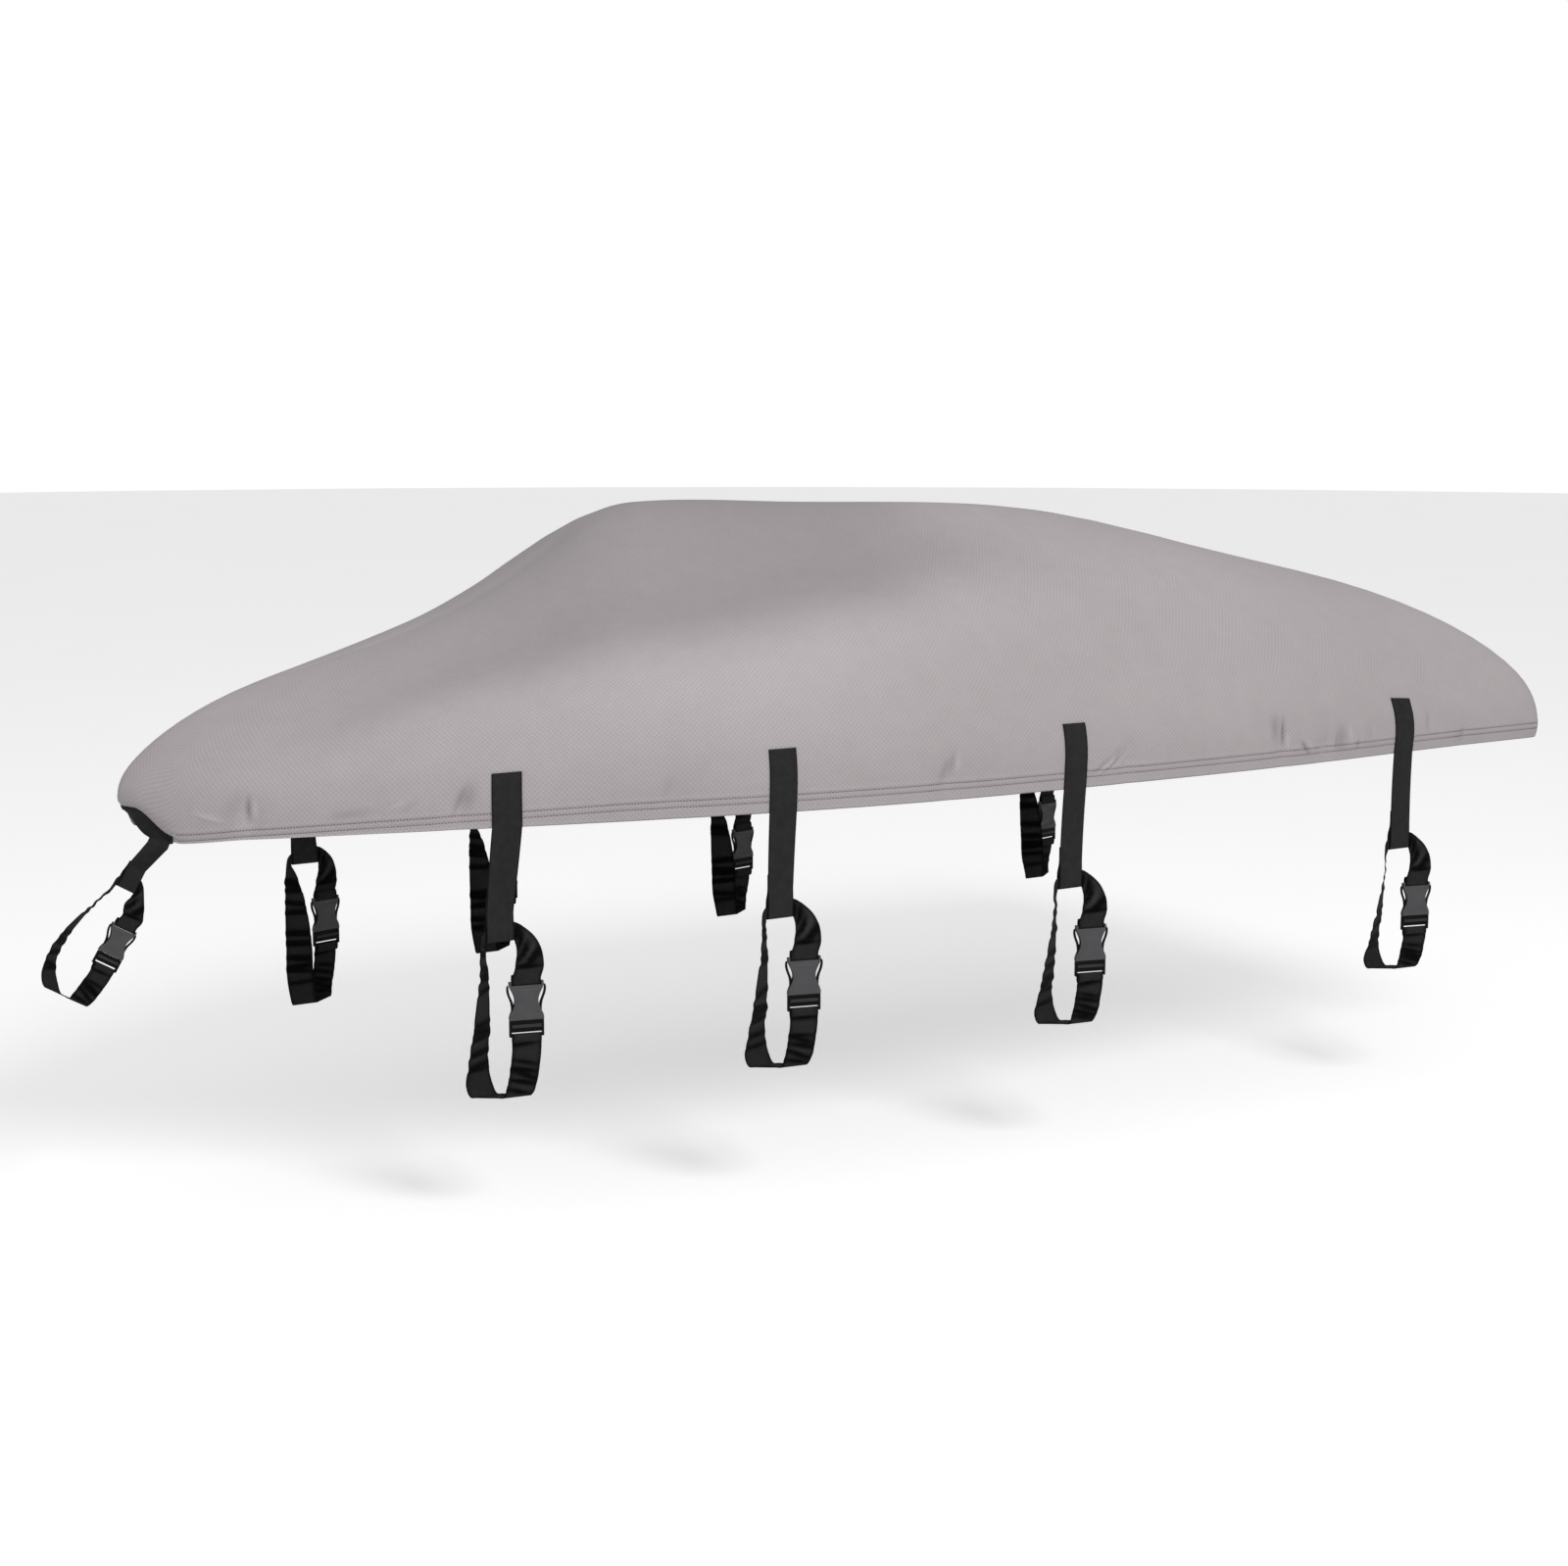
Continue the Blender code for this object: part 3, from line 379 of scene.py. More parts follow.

# Creases across the loop straps, placed one by one. "along" is a share of the stretch, "across" runs from -1
# to 1 over the width, slant leans the crease from square across, and a height below 0 is a trough.
LOOP_CREASES = (
    # stretch, along, across, slant_deg, half_length, half_width, height
    ("hump", 0.05, 0.0, -8, 0.065, 0.0085, -0.0040),
    ("hump", 0.22, 0.35, 34, 0.047, 0.0102, -0.0038),
    ("hump", 0.34, 0.10, 40, 0.044, 0.0085, 0.0026),
    ("hump", 0.46, -0.30, 42, 0.047, 0.0093, -0.0040),
    ("hump", 0.60, 0.25, 30, 0.036, 0.0085, 0.0024),
    ("hump", 0.72, -0.10, 26, 0.039, 0.0085, -0.0038),
    ("hump", 0.92, 0.0, 12, 0.039, 0.0085, -0.0032),
    ("back", 0.06, 0.0, 3, 0.108, 0.0084, -0.0036),
    ("back", 0.12, 0.1, -4, 0.108, 0.0084, -0.0038),
    ("back", 0.19, 0.0, 2, 0.108, 0.0084, -0.0038),
    ("back", 0.25, 0.1, -3, 0.108, 0.0076, -0.0034),
    ("back", 0.31, 0.0, 2, 0.108, 0.0080, -0.0036),
    ("back", 0.52, 0.0, 5, 0.108, 0.0096, -0.0038),
    ("back", 0.60, 0.1, -3, 0.108, 0.0092, -0.0038),
    ("back", 0.67, -0.1, 4, 0.108, 0.0096, -0.0038),
    ("back", 0.745, 0.0, 5, 0.108, 0.0092, -0.0038),
    ("back", 0.82, 0.1, 2, 0.108, 0.0084, -0.0030),
    ("back", 0.89, 0.0, 3, 0.108, 0.0076, -0.0024),
    ("front", 0.12, 0.1, 14, 0.068, 0.0072, -0.0030),
    ("front", 0.25, 0.0, 18, 0.071, 0.0076, -0.0036),
    ("front", 0.38, -0.1, 17, 0.071, 0.0076, -0.0036),
    ("front", 0.51, 0.1, 14, 0.071, 0.0076, -0.0034),
    ("front", 0.63, 0.0, 9, 0.068, 0.0068, -0.0026),
    ("front", 0.95, 0.0, -6, 0.085, 0.0081, -0.0034),
    ("back", 0.56, 0.0, 1, 0.108, 0.0060, 0.0012),
    ("back", 0.71, 0.0, 4, 0.108, 0.0060, 0.0012),
    ("back", 0.785, 0.0, 3, 0.108, 0.0060, 0.0012),
    ("front", 0.19, 0.0, 16, 0.070, 0.0055, 0.0012),
    ("front", 0.315, 0.0, 17, 0.070, 0.0055, 0.0012),
    ("front", 0.445, 0.0, 15, 0.070, 0.0055, 0.0012),
)

# The bow tie-down. Its strap is sewn along the hem from the stem to its fold on the port side, and then
# hangs free to its sleeve.
BOW_SEWN = (
    # arc, outer edge's climb, inner edge from_bow, side, height
    (0.000, 0.1350, 0.034, 0.048, 0.004),
    (0.045, 0.1350, 0.037, 0.014, -0.006),
    (0.090, 0.1080, 0.036, -0.034, -0.022),
    (0.135, 0.0945, 0.038, -0.078, -0.038),
    (0.180, 0.1215, 0.044, -0.116, -0.046),
)
BOW_SEWN_END, BOW_SEWN_ROWS = 0.180, 18
# Where the fold's outer and inner edges leave the hem, and the shares of the straight run to the sleeve
BOW_FOLD = ((0.072, -0.168, -0.072), (0.036, -0.122, -0.056))
BOW_RUN = (0.2, 0.4, 0.6, 0.8)
BOW_FLAP, BOW_LIP = 0.010, 0.0035
BOW_SLEEVE = (-0.016, -0.095, -0.178)
BOW_TILT, BOW_YAW = math.radians(31), math.radians(20)
# What the bow's hang takes after its axes: scale, spread, shift and hump_in
BOW_HANG = (0.80, 1.9, -0.004, 0.024)
BOW_DROP = 0.385

# Rows of stitches that hold each upper strap to the cloth, measured down the strap from its upper end
STITCHED_HALF_WIDTH = 0.032
STRAP_STITCHES = tuple(
    ((down, side * STITCHED_HALF_WIDTH), (end_down, end_side * STITCHED_HALF_WIDTH))
    for down, side, end_down, end_side in (
        (0.006, -1, 0.006, 1),
        (0.045, -1, 0.045, 1),
        (0.075, -1, 0.075, 1),
        (0.006, -1, 0.075, -1),
        (0.006, 1, 0.075, 1),
        (0.006, -1, 0.045, 1),
        (0.006, 1, 0.045, -1),
    )
)
SLEEVE_STITCHES_UP = (0.083, 0.108)
STRAP_STITCH_PITCH, WEB_STITCH, WEB_THREAD = 0.006, 0.0042, 0.0012
THREAD_LIFT = 0.0002

# ------------------------------------------------------------------ the studio
FLOOR_RADIUS, FLOOR_SIDES, FLOOR_GLOW = 40, 64, 0.42
LIGHTS = (
    # name, place, aim, size, share of the key light's power
    ("key", (0.4, -8.1, 6.3), (0.3, -0.4, -0.3), 4.0, 1.0),
    ("fill", (-8.0, -4.0, 2.5), (-0.6, 0.0, -0.5), 5.0, 0.12),
)
# Where the camera stands, how far it is turned from the beam, how far it looks down, and its own sizes
CAMERA_PLACE = Vector((-3.7814, -6.8034, 0.3954))
CAMERA_TURN, CAMERA_DIP = math.radians(32), math.radians(8.79)
SENSOR_WIDTH, SEEN_TO = 36.0, 200.0


# ------------------------------------------------------------------ settings
def linear_colour(code):
    """A six-figure sRGB colour as linear red, green and blue."""
    shares = [int(code[k : k + 2], 16) / 255 for k in (0, 2, 4)]
    return tuple(v / 12.92 if v <= 0.04045 else ((v + 0.055) / 1.055) ** 2.4 for v in shares)


def colour_property(name, code, description):
    """A colour that a user can change."""
    return FloatVectorProperty(
        name=name, description=description, subtype="COLOR", min=0, max=1, default=linear_colour(code)
    )


def length_property(name, default, description, **limits):
    """A length that a user can change."""
    return FloatProperty(
        name=name, description=description, default=default, unit="LENGTH", **limits
    )


class ClothSettings(bpy.types.PropertyGroup):
    """The cover's cloth and hem."""

    colour: colour_property("Cloth", "b0a9ab", "Colour of the coated cloth")
    thread_colour: colour_property("Thread", "4a4243", "Colour of the hem's two rows of stitches")
    weave_pitch: length_property(
        "Weave pitch", 0.0135, "Distance between threads of the weave, as drawn", min=0.0005
    )
    stitch_pitch: length_property(
        "Stitch pitch", 0.008, "Distance between stitches along the hem", min=0.004
    )


class WebbingSettings(bpy.types.PropertyGroup):
    """The tie-down webbing."""

    colour: colour_property("Webbing", "2b2b2b", "Colour of the webbing")
    thread_colour: colour_property("Thread", "131313", "Colour of the stitches across the webbing")
    rib_pitch: length_property(
        "Rib pitch", 0.0050, "Distance between the ribs of the webbing, as drawn", min=0.0005
    )
    crease_depth: FloatProperty(
        name="Crease depth",
        description="Depth of the loops' creases, as a share of their full depth",
        default=1.0,
        min=0,
        max=1,
        subtype="FACTOR",
    )


class BuckleSettings(bpy.types.PropertyGroup):
    """The side-release buckles."""

    body_colour: colour_property("Body", "444446", "Colour of the buckle's body")
    frame_colour: colour_property("Frame", "0b0b0b", "Colour of the buckle's frame and prongs")
    # The rib is the frame's black acetal, painted lighter as a highlight
    rib_highlight_colour: colour_property("Rib", "2c2c2d", "Colour of the rib across the buckle's frame")
    edge_radius: length_property(
        "Edge radius", 0.0013, "Radius of the moulded edges", min=0.0002, max=0.002
    )


class StudioSettings(bpy.types.PropertyGroup):
    """The studio round the cover."""

    floor_height: length_property(
        "Floor height", -1.80, "Height of the floor, under the boat's trailer"
    )
    floor_colour: colour_property("Floor", "ededed", "Colour of the floor")
    key_power: FloatProperty(
        name="Key light",
        description="Power of the large soft light above and to the right of the camera",
        default=560.0,
        min=0,
        unit="POWER",
    )
    ambient: FloatProperty(
        name="Soft light",
        description="Brightness of the soft light from all round",
        default=0.46,
        min=0,
        soft_max=2,
    )
    lens: FloatProperty(
        name="Lens",
        description="Focal length of the camera, in millimetres",
        default=63.0,
        min=10,
        unit="CAMERA",
    )


# ------------------------------------------------------------------ materials
def fill_inputs(node, inputs):
    """Fills a node's inputs with values, or with other nodes' outputs: a node stands for its first one."""
    for key, value in inputs.items():
        if isinstance(value, bpy.types.Node):
            value = value.outputs[0]
        if isinstance(value, bpy.types.NodeSocket):
            node.id_data.links.new(value, node.inputs[key])
        else:
            node.inputs[key].default_value = value


def add_node(tree, kind, inputs=(), **settings):
    """Adds a node, makes its settings and fills its inputs."""
    made = tree.nodes.new(kind)
    for name, value in settings.items():
        setattr(made, name, value)
    fill_inputs(made, dict(inputs))
    return made


def new_material(name):
    """A material with only its output and shader, and its nodes to be filled in."""
    made = bpy.data.materials.new(name)
    made.use_nodes = True
    return made, made.node_tree


def set_shader(made, inputs, relief, strength, depth):
    """Fills in a material's shader, and gives it a fine relief of a strength and a depth."""
    tree = made.node_tree
    bump = add_node(
        tree, "ShaderNodeBump", {"Height": relief, "Strength": strength, "Distance": depth}
    )
    fill_inputs(tree.nodes["Principled BSDF"], {**inputs, "Normal": bump})
    return made


def patches(tree, per_metre, detail, roughness, *ranges):
    """Soft random patches, so many to a metre, and the same drawn out between each pair of values."""
    place = add_node(tree, "ShaderNodeTexCoord").outputs["Object"]
    noise = add_node(
        tree,
        "ShaderNodeTexNoise",
        {"Vector": place, "Scale": per_metre, "Detail": detail, "Roughness": roughness},
    )
    return noise, *(
        add_node(tree, "ShaderNodeMapRange", {0: noise, 1: 0.3, 2: 0.7, 3: low, 4: high})
        for low, high in ranges
    )


def wave(tree, source, pitch):
    """A sine wave along one coordinate, with one full turn in each pitch."""
    turns = add_node(tree, "ShaderNodeMath", {0: source, 1: math.tau / pitch}, operation="MULTIPLY")
    return add_node(tree, "ShaderNodeMath", {0: turns}, operation="SINE")


def woven_places(tree):
    """The distances along and across a woven sheet, and how pale each of its points is."""
    uv = add_node(tree, "ShaderNodeUVMap", uv_map="weave")
    along, across, _ = add_node(tree, "ShaderNodeSeparateXYZ", {0: uv}).outputs
    tone = add_node(tree, "ShaderNodeAttribute", attribute_name="tone").outputs["Fac"]
    return along, across, tone


def toned(tree, colour, tone, *more_tones):
    """A colour made paler or darker by each tone in turn."""
    for further in more_tones:
        tone = add_node(tree, "ShaderNodeMath", {0: tone, 1: further}, operation="MULTIPLY")
    return add_node(
        tree, "ShaderNodeVectorMath", {0: tuple(colour), "Scale": tone}, operation="SCALE"
    )


def oxford_cloth(name):
    """Polyester oxford cloth, plain woven and coated: matt, with a fine dotted weave and a faint sheen."""
    settings = bpy.context.scene.boat_cover_cloth
    made, tree = new_material(name)
    # The real threads are about 0.9 mm apart. They are drawn far coarser, as they would not show.
    along, across, own_tone = woven_places(tree)
    warp, weft = (wave(tree, axis, settings.weave_pitch) for axis in (along, across))
    crossings = add_node(tree, "ShaderNodeMath", {0: warp, 1: weft}, operation="MULTIPLY")
    dots = add_node(tree, "ShaderNodeMapRange", {0: crossings, 1: -1.0, 2: 1.0, 3: 0.90, 4: 1.10})
    # It has faded in patches of about 0.6 m, is mottled in spots of 60 mm, and has 7 mm slubs.
    _, shade = patches(tree, 1.6, 3.0, 0.55, (0.965, 1.03))
    _, mottle, gloss = patches(tree, 17.0, 5.0, 0.6, (0.975, 1.025), (0.66, 0.78))
    slub, flecks = patches(tree, 140.0, 2.0, 0.6, (0.975, 1.025))
    slight = add_node(tree, "ShaderNodeMath", {0: slub, 1: 0.5}, operation="MULTIPLY")
    # The base colour takes the tone attribute, which holds painted highlight and painted shade as well as the
    # hem's tones
    inputs = {
        "Base Color": toned(tree, settings.colour, shade, mottle, own_tone, dots, flecks),
        "Roughness": gloss,
        "Sheen Weight": 0.06,
        "Sheen Roughness": 0.5,
        "Specular IOR Level": 0.30,
    }
    relief = add_node(tree, "ShaderNodeMath", {0: crossings, 1: slight}, operation="ADD")
    return set_shader(made, inputs, relief, 0.35, 0.0006)


def webbing(name):
    """Polypropylene webbing, woven in ribs that meet in a herringbone: matt black, with firm selvedges."""
    settings = bpy.context.scene.boat_cover_webbing
    made, tree = new_material(name)
    # The real ribs are about 1.5 mm apart. They are drawn coarser, so that they show.
    along, across, own_tone = woven_places(tree)
    aside = add_node(tree, "ShaderNodeMath", {0: across}, operation="ABSOLUTE")
    chevron = add_node(tree, "ShaderNodeMath", {0: along, 1: aside}, operation="ADD")
    ribs, cords = (wave(tree, axis, settings.rib_pitch) for axis in (chevron, across))
    weave = add_node(tree, "ShaderNodeMath", {0: ribs, 1: cords}, operation="ADD")
    # 1 over the width, and 0 on the smooth selvedge, 3 mm wide
    start, end = WEB_WIDTH / 2 - 0.0035, WEB_WIDTH / 2 - 0.0025
    field = add_node(tree, "ShaderNodeMapRange", {0: aside, 1: start, 2: end, 3: 1.0, 4: 0.0})
    weave = add_node(tree, "ShaderNodeMath", {0: weave, 1: field}, operation="MULTIPLY")
    # The selvedges are painted darker: painted shade along each edge of the strap
    selvedge = add_node(tree, "ShaderNodeMapRange", {0: field, 1: 0.0, 2: 1.0, 3: 0.35, 4: 1.0})
    lit = add_node(tree, "ShaderNodeMapRange", {0: weave, 1: -2.0, 2: 2.0, 3: 0.72, 4: 1.35})
    # It is worn in patches of about 22 mm, with a fuzz of loose fibres 2 mm apart.
    _, worn, gloss = patches(tree, 45.0, 4.0, 0.6, (0.85, 1.18), (0.55, 0.70))
    (fibre,) = patches(tree, 420.0, 2.0, 0.6)
    # The base colour takes the tone attribute, which holds the loops' painted shade and painted highlight
    inputs = {
        "Base Color": toned(tree, settings.colour, lit, worn, own_tone, selvedge),
        "Roughness": gloss,
        "Specular IOR Level": 0.06,
    }
    relief = add_node(tree, "ShaderNodeMath", {0: weave, 1: fibre}, operation="ADD")
    return set_shader(made, inputs, relief, 0.6, 0.0005)


def moulded_acetal(name, colour, roughness, shine):
    """Injection-moulded acetal with a spark-eroded finish: satin, very finely pitted, smooth to the touch."""
    made, tree = new_material(name)
    # The real grain is about 0.1 mm. It is drawn at about 0.6 mm, so that it breaks up the shine.
    (grain,) = patches(tree, 1500.0, 2.0, 0.5)
    # Its tone drifts over about 30 mm.
    _, tone, gloss = patches(
        tree, 30.0, 3.0, 0.5, (0.90, 1.10), (roughness - 0.04, roughness + 0.06)
    )
    inputs = {
        "Base Color": toned(tree, colour, tone),
        "Roughness": gloss,
        "IOR": 1.48,
        "Specular IOR Level": shine,
    }
    return set_shader(made, inputs, grain, 0.25, 0.0001)


def sewing_thread(name, colour):
    """Bonded polyester thread, twisted: matt, with light and dark along each stitch."""
    made, tree = new_material(name)
    # The real twist turns about every 0.8 mm. It is drawn at about 2 mm.
    twist, tone = patches(tree, 500.0, 2.0, 0.5, (0.75, 1.25))
    return set_shader(
        made, {"Base Color": toned(tree, colour, tone), "Roughness": 0.7}, twist, 0.4, 0.0003
    )


def painted_floor(name, colour):
    """A painted studio floor: pale and matt, and lit a little from itself so that it stays near white."""
    made, tree = new_material(name)
    # Its tone drifts over about 1.2 m.
    _, tone = patches(tree, 0.8, 4.0, 0.5, (0.99, 1.01))
    seen = add_node(tree, "ShaderNodeLightPath").outputs["Is Camera Ray"]
    glow = add_node(tree, "ShaderNodeMath", {0: seen, 1: FLOOR_GLOW}, operation="MULTIPLY")
    inputs = {
        "Base Color": toned(tree, colour, tone),
        "Roughness": 0.85,
        "Emission Color": (1.0, 1.0, 1.0, 1.0),
        "Emission Strength": glow,
    }
    fill_inputs(tree.nodes["Principled BSDF"], inputs)
    return made


def finish_named(name, make, *details):
    """The finish of that name, made the first time that it is asked for."""
    return bpy.data.materials.get(name) or make(name, *details)


# ------------------------------------------------------------------ curves and lines
def hermite(start, end, leaving, arriving, t, span):
    """A place on the smooth curve from start to end over a span, which leaves and arrives at two slopes."""
    return (
        start * (1 - t) ** 2 * (1 + 2 * t)
        + end * t**2 * (3 - 2 * t)
        + (leaving * t * (1 - t) ** 2 - arriving * t**2 * (1 - t)) * span
    )


def curve_through(rows, where):
    """A table's other columns at a place in its first one, on smooth curves through its rows."""
    where = min(max(where, rows[0][0]), rows[-1][0])
    i = max(k for k in range(len(rows) - 1) if rows[k][0] <= where)
    start, end = rows[i], rows[i + 1]
    span = end[0] - start[0]

    def slope(k, column):
        before, after = rows[max(k - 1, 0)], rows[min(k + 1, len(rows) - 1)]
        return (after[column] - before[column]) / (after[0] - before[0])

    return [
        hermite(start[c], end[c], slope(i, c), slope(i + 1, c), (where - start[0]) / span, span)
        for c in range(1, len(start))
    ]


def smoothstep(t):
    """A smooth rise from 0 to 1, as t goes from 0 to 1."""
    t = min(max(t, 0.0), 1.0)
    return t * t * (3 - 2 * t)


def fold_height(along, across, slant, half_length, half_width, height):
    """The height of one crease at a distance along the strap or cloth and across from its middle."""
    cos, sin = math.cos(math.radians(slant)), math.sin(math.radians(slant))
    aside = (along * cos - across * sin) / half_width
    run = (along * sin + across * cos) / half_length
    if abs(run) >= 1 or abs(aside) > FADED:
        return 0.0
    return height * math.exp(-(aside**2)) * (1 - run**2) ** 2


def to_frame(from_bow, side, height):
    """A place on the boat, in the part's own frame."""
    return Vector((from_bow - PEAK_FROM_BOW, side, height - PEAK_HEIGHT + CLOTH))


def half_breadth(from_bow):
    """Half the cover's breadth at the shoulder, before the stern corners are rounded."""
    if from_bow < FULLEST_FROM_BOW:
        ahead = 1 - max(from_bow, 0) / FULLEST_FROM_BOW
        return HALF_BEAM * (1 - ahead**BOW_FULLNESS) ** BOW_ROUNDNESS
    aft = (from_bow - FULLEST_FROM_BOW) / (LENGTH - FULLEST_FROM_BOW)
    return HALF_BEAM - STERN_NARROWING * aft**2


class Plan:
    """The cover seen from above: one half of its outline, from the nose to the middle of the transom."""

    def __init__(self):
        corner_start = LENGTH - STERN_CORNER
        along = (corner_start * (k / SIDE_POINTS) ** 2 for k in range(SIDE_POINTS + 1))
        points = [(from_bow, half_breadth(from_bow)) for from_bow in along]
        breadth = points[-1][1]
        for k in range(1, CORNER_POINTS + 1):
            turn = math.pi / 2 * k / CORNER_POINTS
            sin, cos = math.sin(turn), math.cos(turn)
            points.append((corner_start + STERN_CORNER * sin, breadth - STERN_CORNER * (1 - cos)))
        flat = points[-1][1]
        for k in range(1, TRANSOM_POINTS + 1):
            across = flat * (1 - k / TRANSOM_POINTS)
            points.append((LENGTH + TRANSOM_CAMBER * (1 - (across / flat) ** 2), across))
        self.points = points
        self.arcs = [0.0, *accumulate(map(math.dist, points, points[1:]))]
        self.length = self.arcs[-1]

    def at(self, arc):
        """(from_bow, breadth) at a distance round from the nose. Past either end it runs up the far side."""
        if arc < 0:
            from_bow, breadth = self.at(-arc)
            return from_bow, -breadth
        if arc > self.length:
            from_bow, breadth = self.at(2 * self.length - arc)
            return from_bow, -breadth
        i = min(bisect_right(self.arcs, arc), len(self.arcs) - 1)
        t = (arc - self.arcs[i - 1]) / (self.arcs[i] - self.arcs[i - 1])
        return tuple(a + (b - a) * t for a, b in zip(self.points[i - 1], self.points[i]))

    def arc_at(self, from_bow):
        """The distance round from the nose to a place along the side."""
        i = max(k for k in range(SIDE_POINTS) if self.points[k][0] <= from_bow)
        start, end = self.points[i][0], self.points[i + 1][0]
        return self.arcs[i] + (self.arcs[i + 1] - self.arcs[i]) * (from_bow - start) / (end - start)

    def outward(self, arc, side):
        """The level direction that points away from the boat."""
        before, after = self.at(arc - ALONG_CHECK), self.at(arc + ALONG_CHECK)
        along = Vector((after[0] - before[0], side * (after[1] - before[1]), 0)).normalized()
        return Vector((-side * along.y, side * along.x, 0))


class Line:
    """One line of the cover's outer face, from the hem up the side and over the roof to the crown."""

    def __init__(self, plan, arc, side):
        self.column = (PORT, STARBOARD).index(side)
        self.seams = 1.0
        if side == PORT:
            self.seams = smoothstep((arc - SEAMS_START) / (SEAMS_FULL - SEAMS_START))
        self.from_bow, self.breadth = plan.at(arc)
        self.drop = min(SEAM_DROP * max(1 - self.from_bow / SEAM_DROP_END, 0), SEAM_DROP_MOST)
        self.away = plan.outward(arc, side)
        hem, self.shoulder, self.power = curve_through(SIDE, self.from_bow)
        if self.from_bow < CHIN_REACH and self.breadth < CHIN_END:
            share = (self.breadth - CHIN_START) / (CHIN_END - CHIN_START)
            hem = STEM_HEM_HEIGHT + (hem - STEM_HEM_HEIGHT) * smoothstep(share)
        self.hem = hem
        self.spine_at = SPINE_START + (SPINE_END - SPINE_START) * arc / plan.length
        (self.crown,) = curve_through(SPINE, self.spine_at)
        self.ridge_at, self.ridge = curve_through(RIDGE, self.from_bow)
        nose = 1 - smoothstep(self.from_bow / NOSE_END)
        self.tuck = HEM_TUCK + (NOSE_TUCK - HEM_TUCK) * nose
        self.foot = Vector((self.from_bow, side * self.breadth, 0))
        self.creases = [
            (middle, *above_and_slant, half_length, half_width, height)
            for middle, *above_and_slant, half_length, half_width, height in CREASES[side]
            if abs(middle - self.from_bow) < half_length + FADED * half_width
        ]

    def swell(self, up_roof):
        """How far the cloth lies inside its smooth form, from the broad hollows and crowns."""
        depth = 0.0
        for middle, rise, half_length, half_rise, *depths in SWELLS:
            along = (self.from_bow - middle) / half_length
            up = (up_roof - rise) / half_rise
            depth += depths[self.column] * math.exp(-(along**2) - up**2)
        above = up_roof - self.ridge_at
        depth -= self.ridge * math.exp(-((above / RIDGE_RISE) ** 2))
        hollow = (above - RIDGE_HOLLOW_UP) / RIDGE_HOLLOW_RISE
        return depth + self.ridge * RIDGE_HOLLOW * math.exp(-(hollow**2))

    def tone(self, climb):
        """How pale the cloth is: a painted highlight along its ridge, painted shade on the flat roof and the
        skirt, and painted shade and highlight in its creases.
        """
        above_ridge = climb - 1 - self.ridge_at
        share = self.ridge / RIDGE_FULL
        crest = math.exp(-((above_ridge / RIDGE_RISE) ** 2))
        dull = smoothstep((above_ridge - ROOF_DULL_FROM) / (ROOF_DULL_TO - ROOF_DULL_FROM))
        above_hem = self.form(climb).z - self.hem
        # Painted highlight along the ridge and painted shade on the roof over it, with painted shade in
        # crease troughs and painted highlight on crease crests
        tone = 1 + share * (RIDGE_PALE * crest - ROOF_DULL * dull) + CREASE_TONE * self.folds(above_hem)
        # Painted shade on the skirt below the ridge, none at the nose and full from SKIRT_DULL_FULL aft
        skirt = smoothstep((above_ridge - SKIRT_DULL_FROM) / (SKIRT_DULL_TO - SKIRT_DULL_FROM))
        tone -= SKIRT_DULL * skirt * smoothstep(self.from_bow / SKIRT_DULL_FULL)
        return tone * self.hem_tone(above_hem)

    def pucker(self, above_hem):
        """How far the cloth is drawn in by the puckers over the hem."""
        depth = 0.0
        for middle, half_width, reach, *depths in PUCKERS:
            along = (self.from_bow - middle) / half_width
            if abs(along) > FADED:
                continue
            share = above_hem / reach
            foot = HEM_PUCKER_SHARE + (1 - HEM_PUCKER_SHARE) * smoothstep(share / PUCKER_DEEPEST)
            fade = 1 - smoothstep((share - PUCKER_DEEPEST) / (1 - PUCKER_DEEPEST))
            depth += depths[self.column] * math.exp(-(along**2) * PUCKER_SHARPNESS) * foot * fade
        return depth

    def folds(self, above_hem):
        """How far the cloth stands proud at its creases."""
        height = 0.0
        for middle, above, *form in self.creases:
            height += fold_height(self.from_bow - middle, above_hem - above, *form)
        return height

    def lowered(self, above_hem):
        """Where a height over the hem comes here, as the seams lie lower towards the bow."""
        return above_hem - self.drop * min(above_hem / STITCH_ROWS[0], 1)

    def unlowered(self, above_hem):
        """The height over the hem, before the seams are lowered, that comes to this height here."""
        low = STITCH_ROWS[0] - self.drop
        return above_hem * STITCH_ROWS[0] / low if above_hem < low else above_hem + self.drop

    def relief(self, above_hem):
        """How far the cloth stands proud: its creases, the doubled hem, and the grooves at its stitches."""
        height = self.folds(above_hem)
        above_hem = self.unlowered(above_hem)
        if above_hem < HEM_DEPTH + HEM_STEP_RUN:
            seams = HEM_STEP * (1 - smoothstep((above_hem - HEM_DEPTH) / HEM_STEP_RUN))
            for row in STITCH_ROWS:
                seams -= GROOVE_DEPTH * math.exp(-(((above_hem - row) / GROOVE_HALF_WIDTH) ** 2))
            height += seams * self.seams
            height -= HEM_ROLL * (1 - min(above_hem / HEM_ROLL_RUN, 1)) ** 2
        return height

    def hem_tone(self, above_hem):
        """How pale the hem is: painted shade at its rows of stitches, a painted highlight at its lip, and
        painted shade at its lower edge.
        """
        above_hem = self.unlowered(above_hem)
        if above_hem > HEM_DEPTH + HEM_STEP_RUN:
            return 1.0
        tone = 1 - BAND_DULL * (1 - smoothstep((above_hem - HEM_DEPTH) / HEM_STEP_RUN))
        # Painted highlight along the rolled lip, stronger towards the bow
        pale = LIP_PALE + BOW_LIP_PALE * self.drop / SEAM_DROP_MOST
        tone += pale * (1 - smoothstep(above_hem / LIP_TOP))
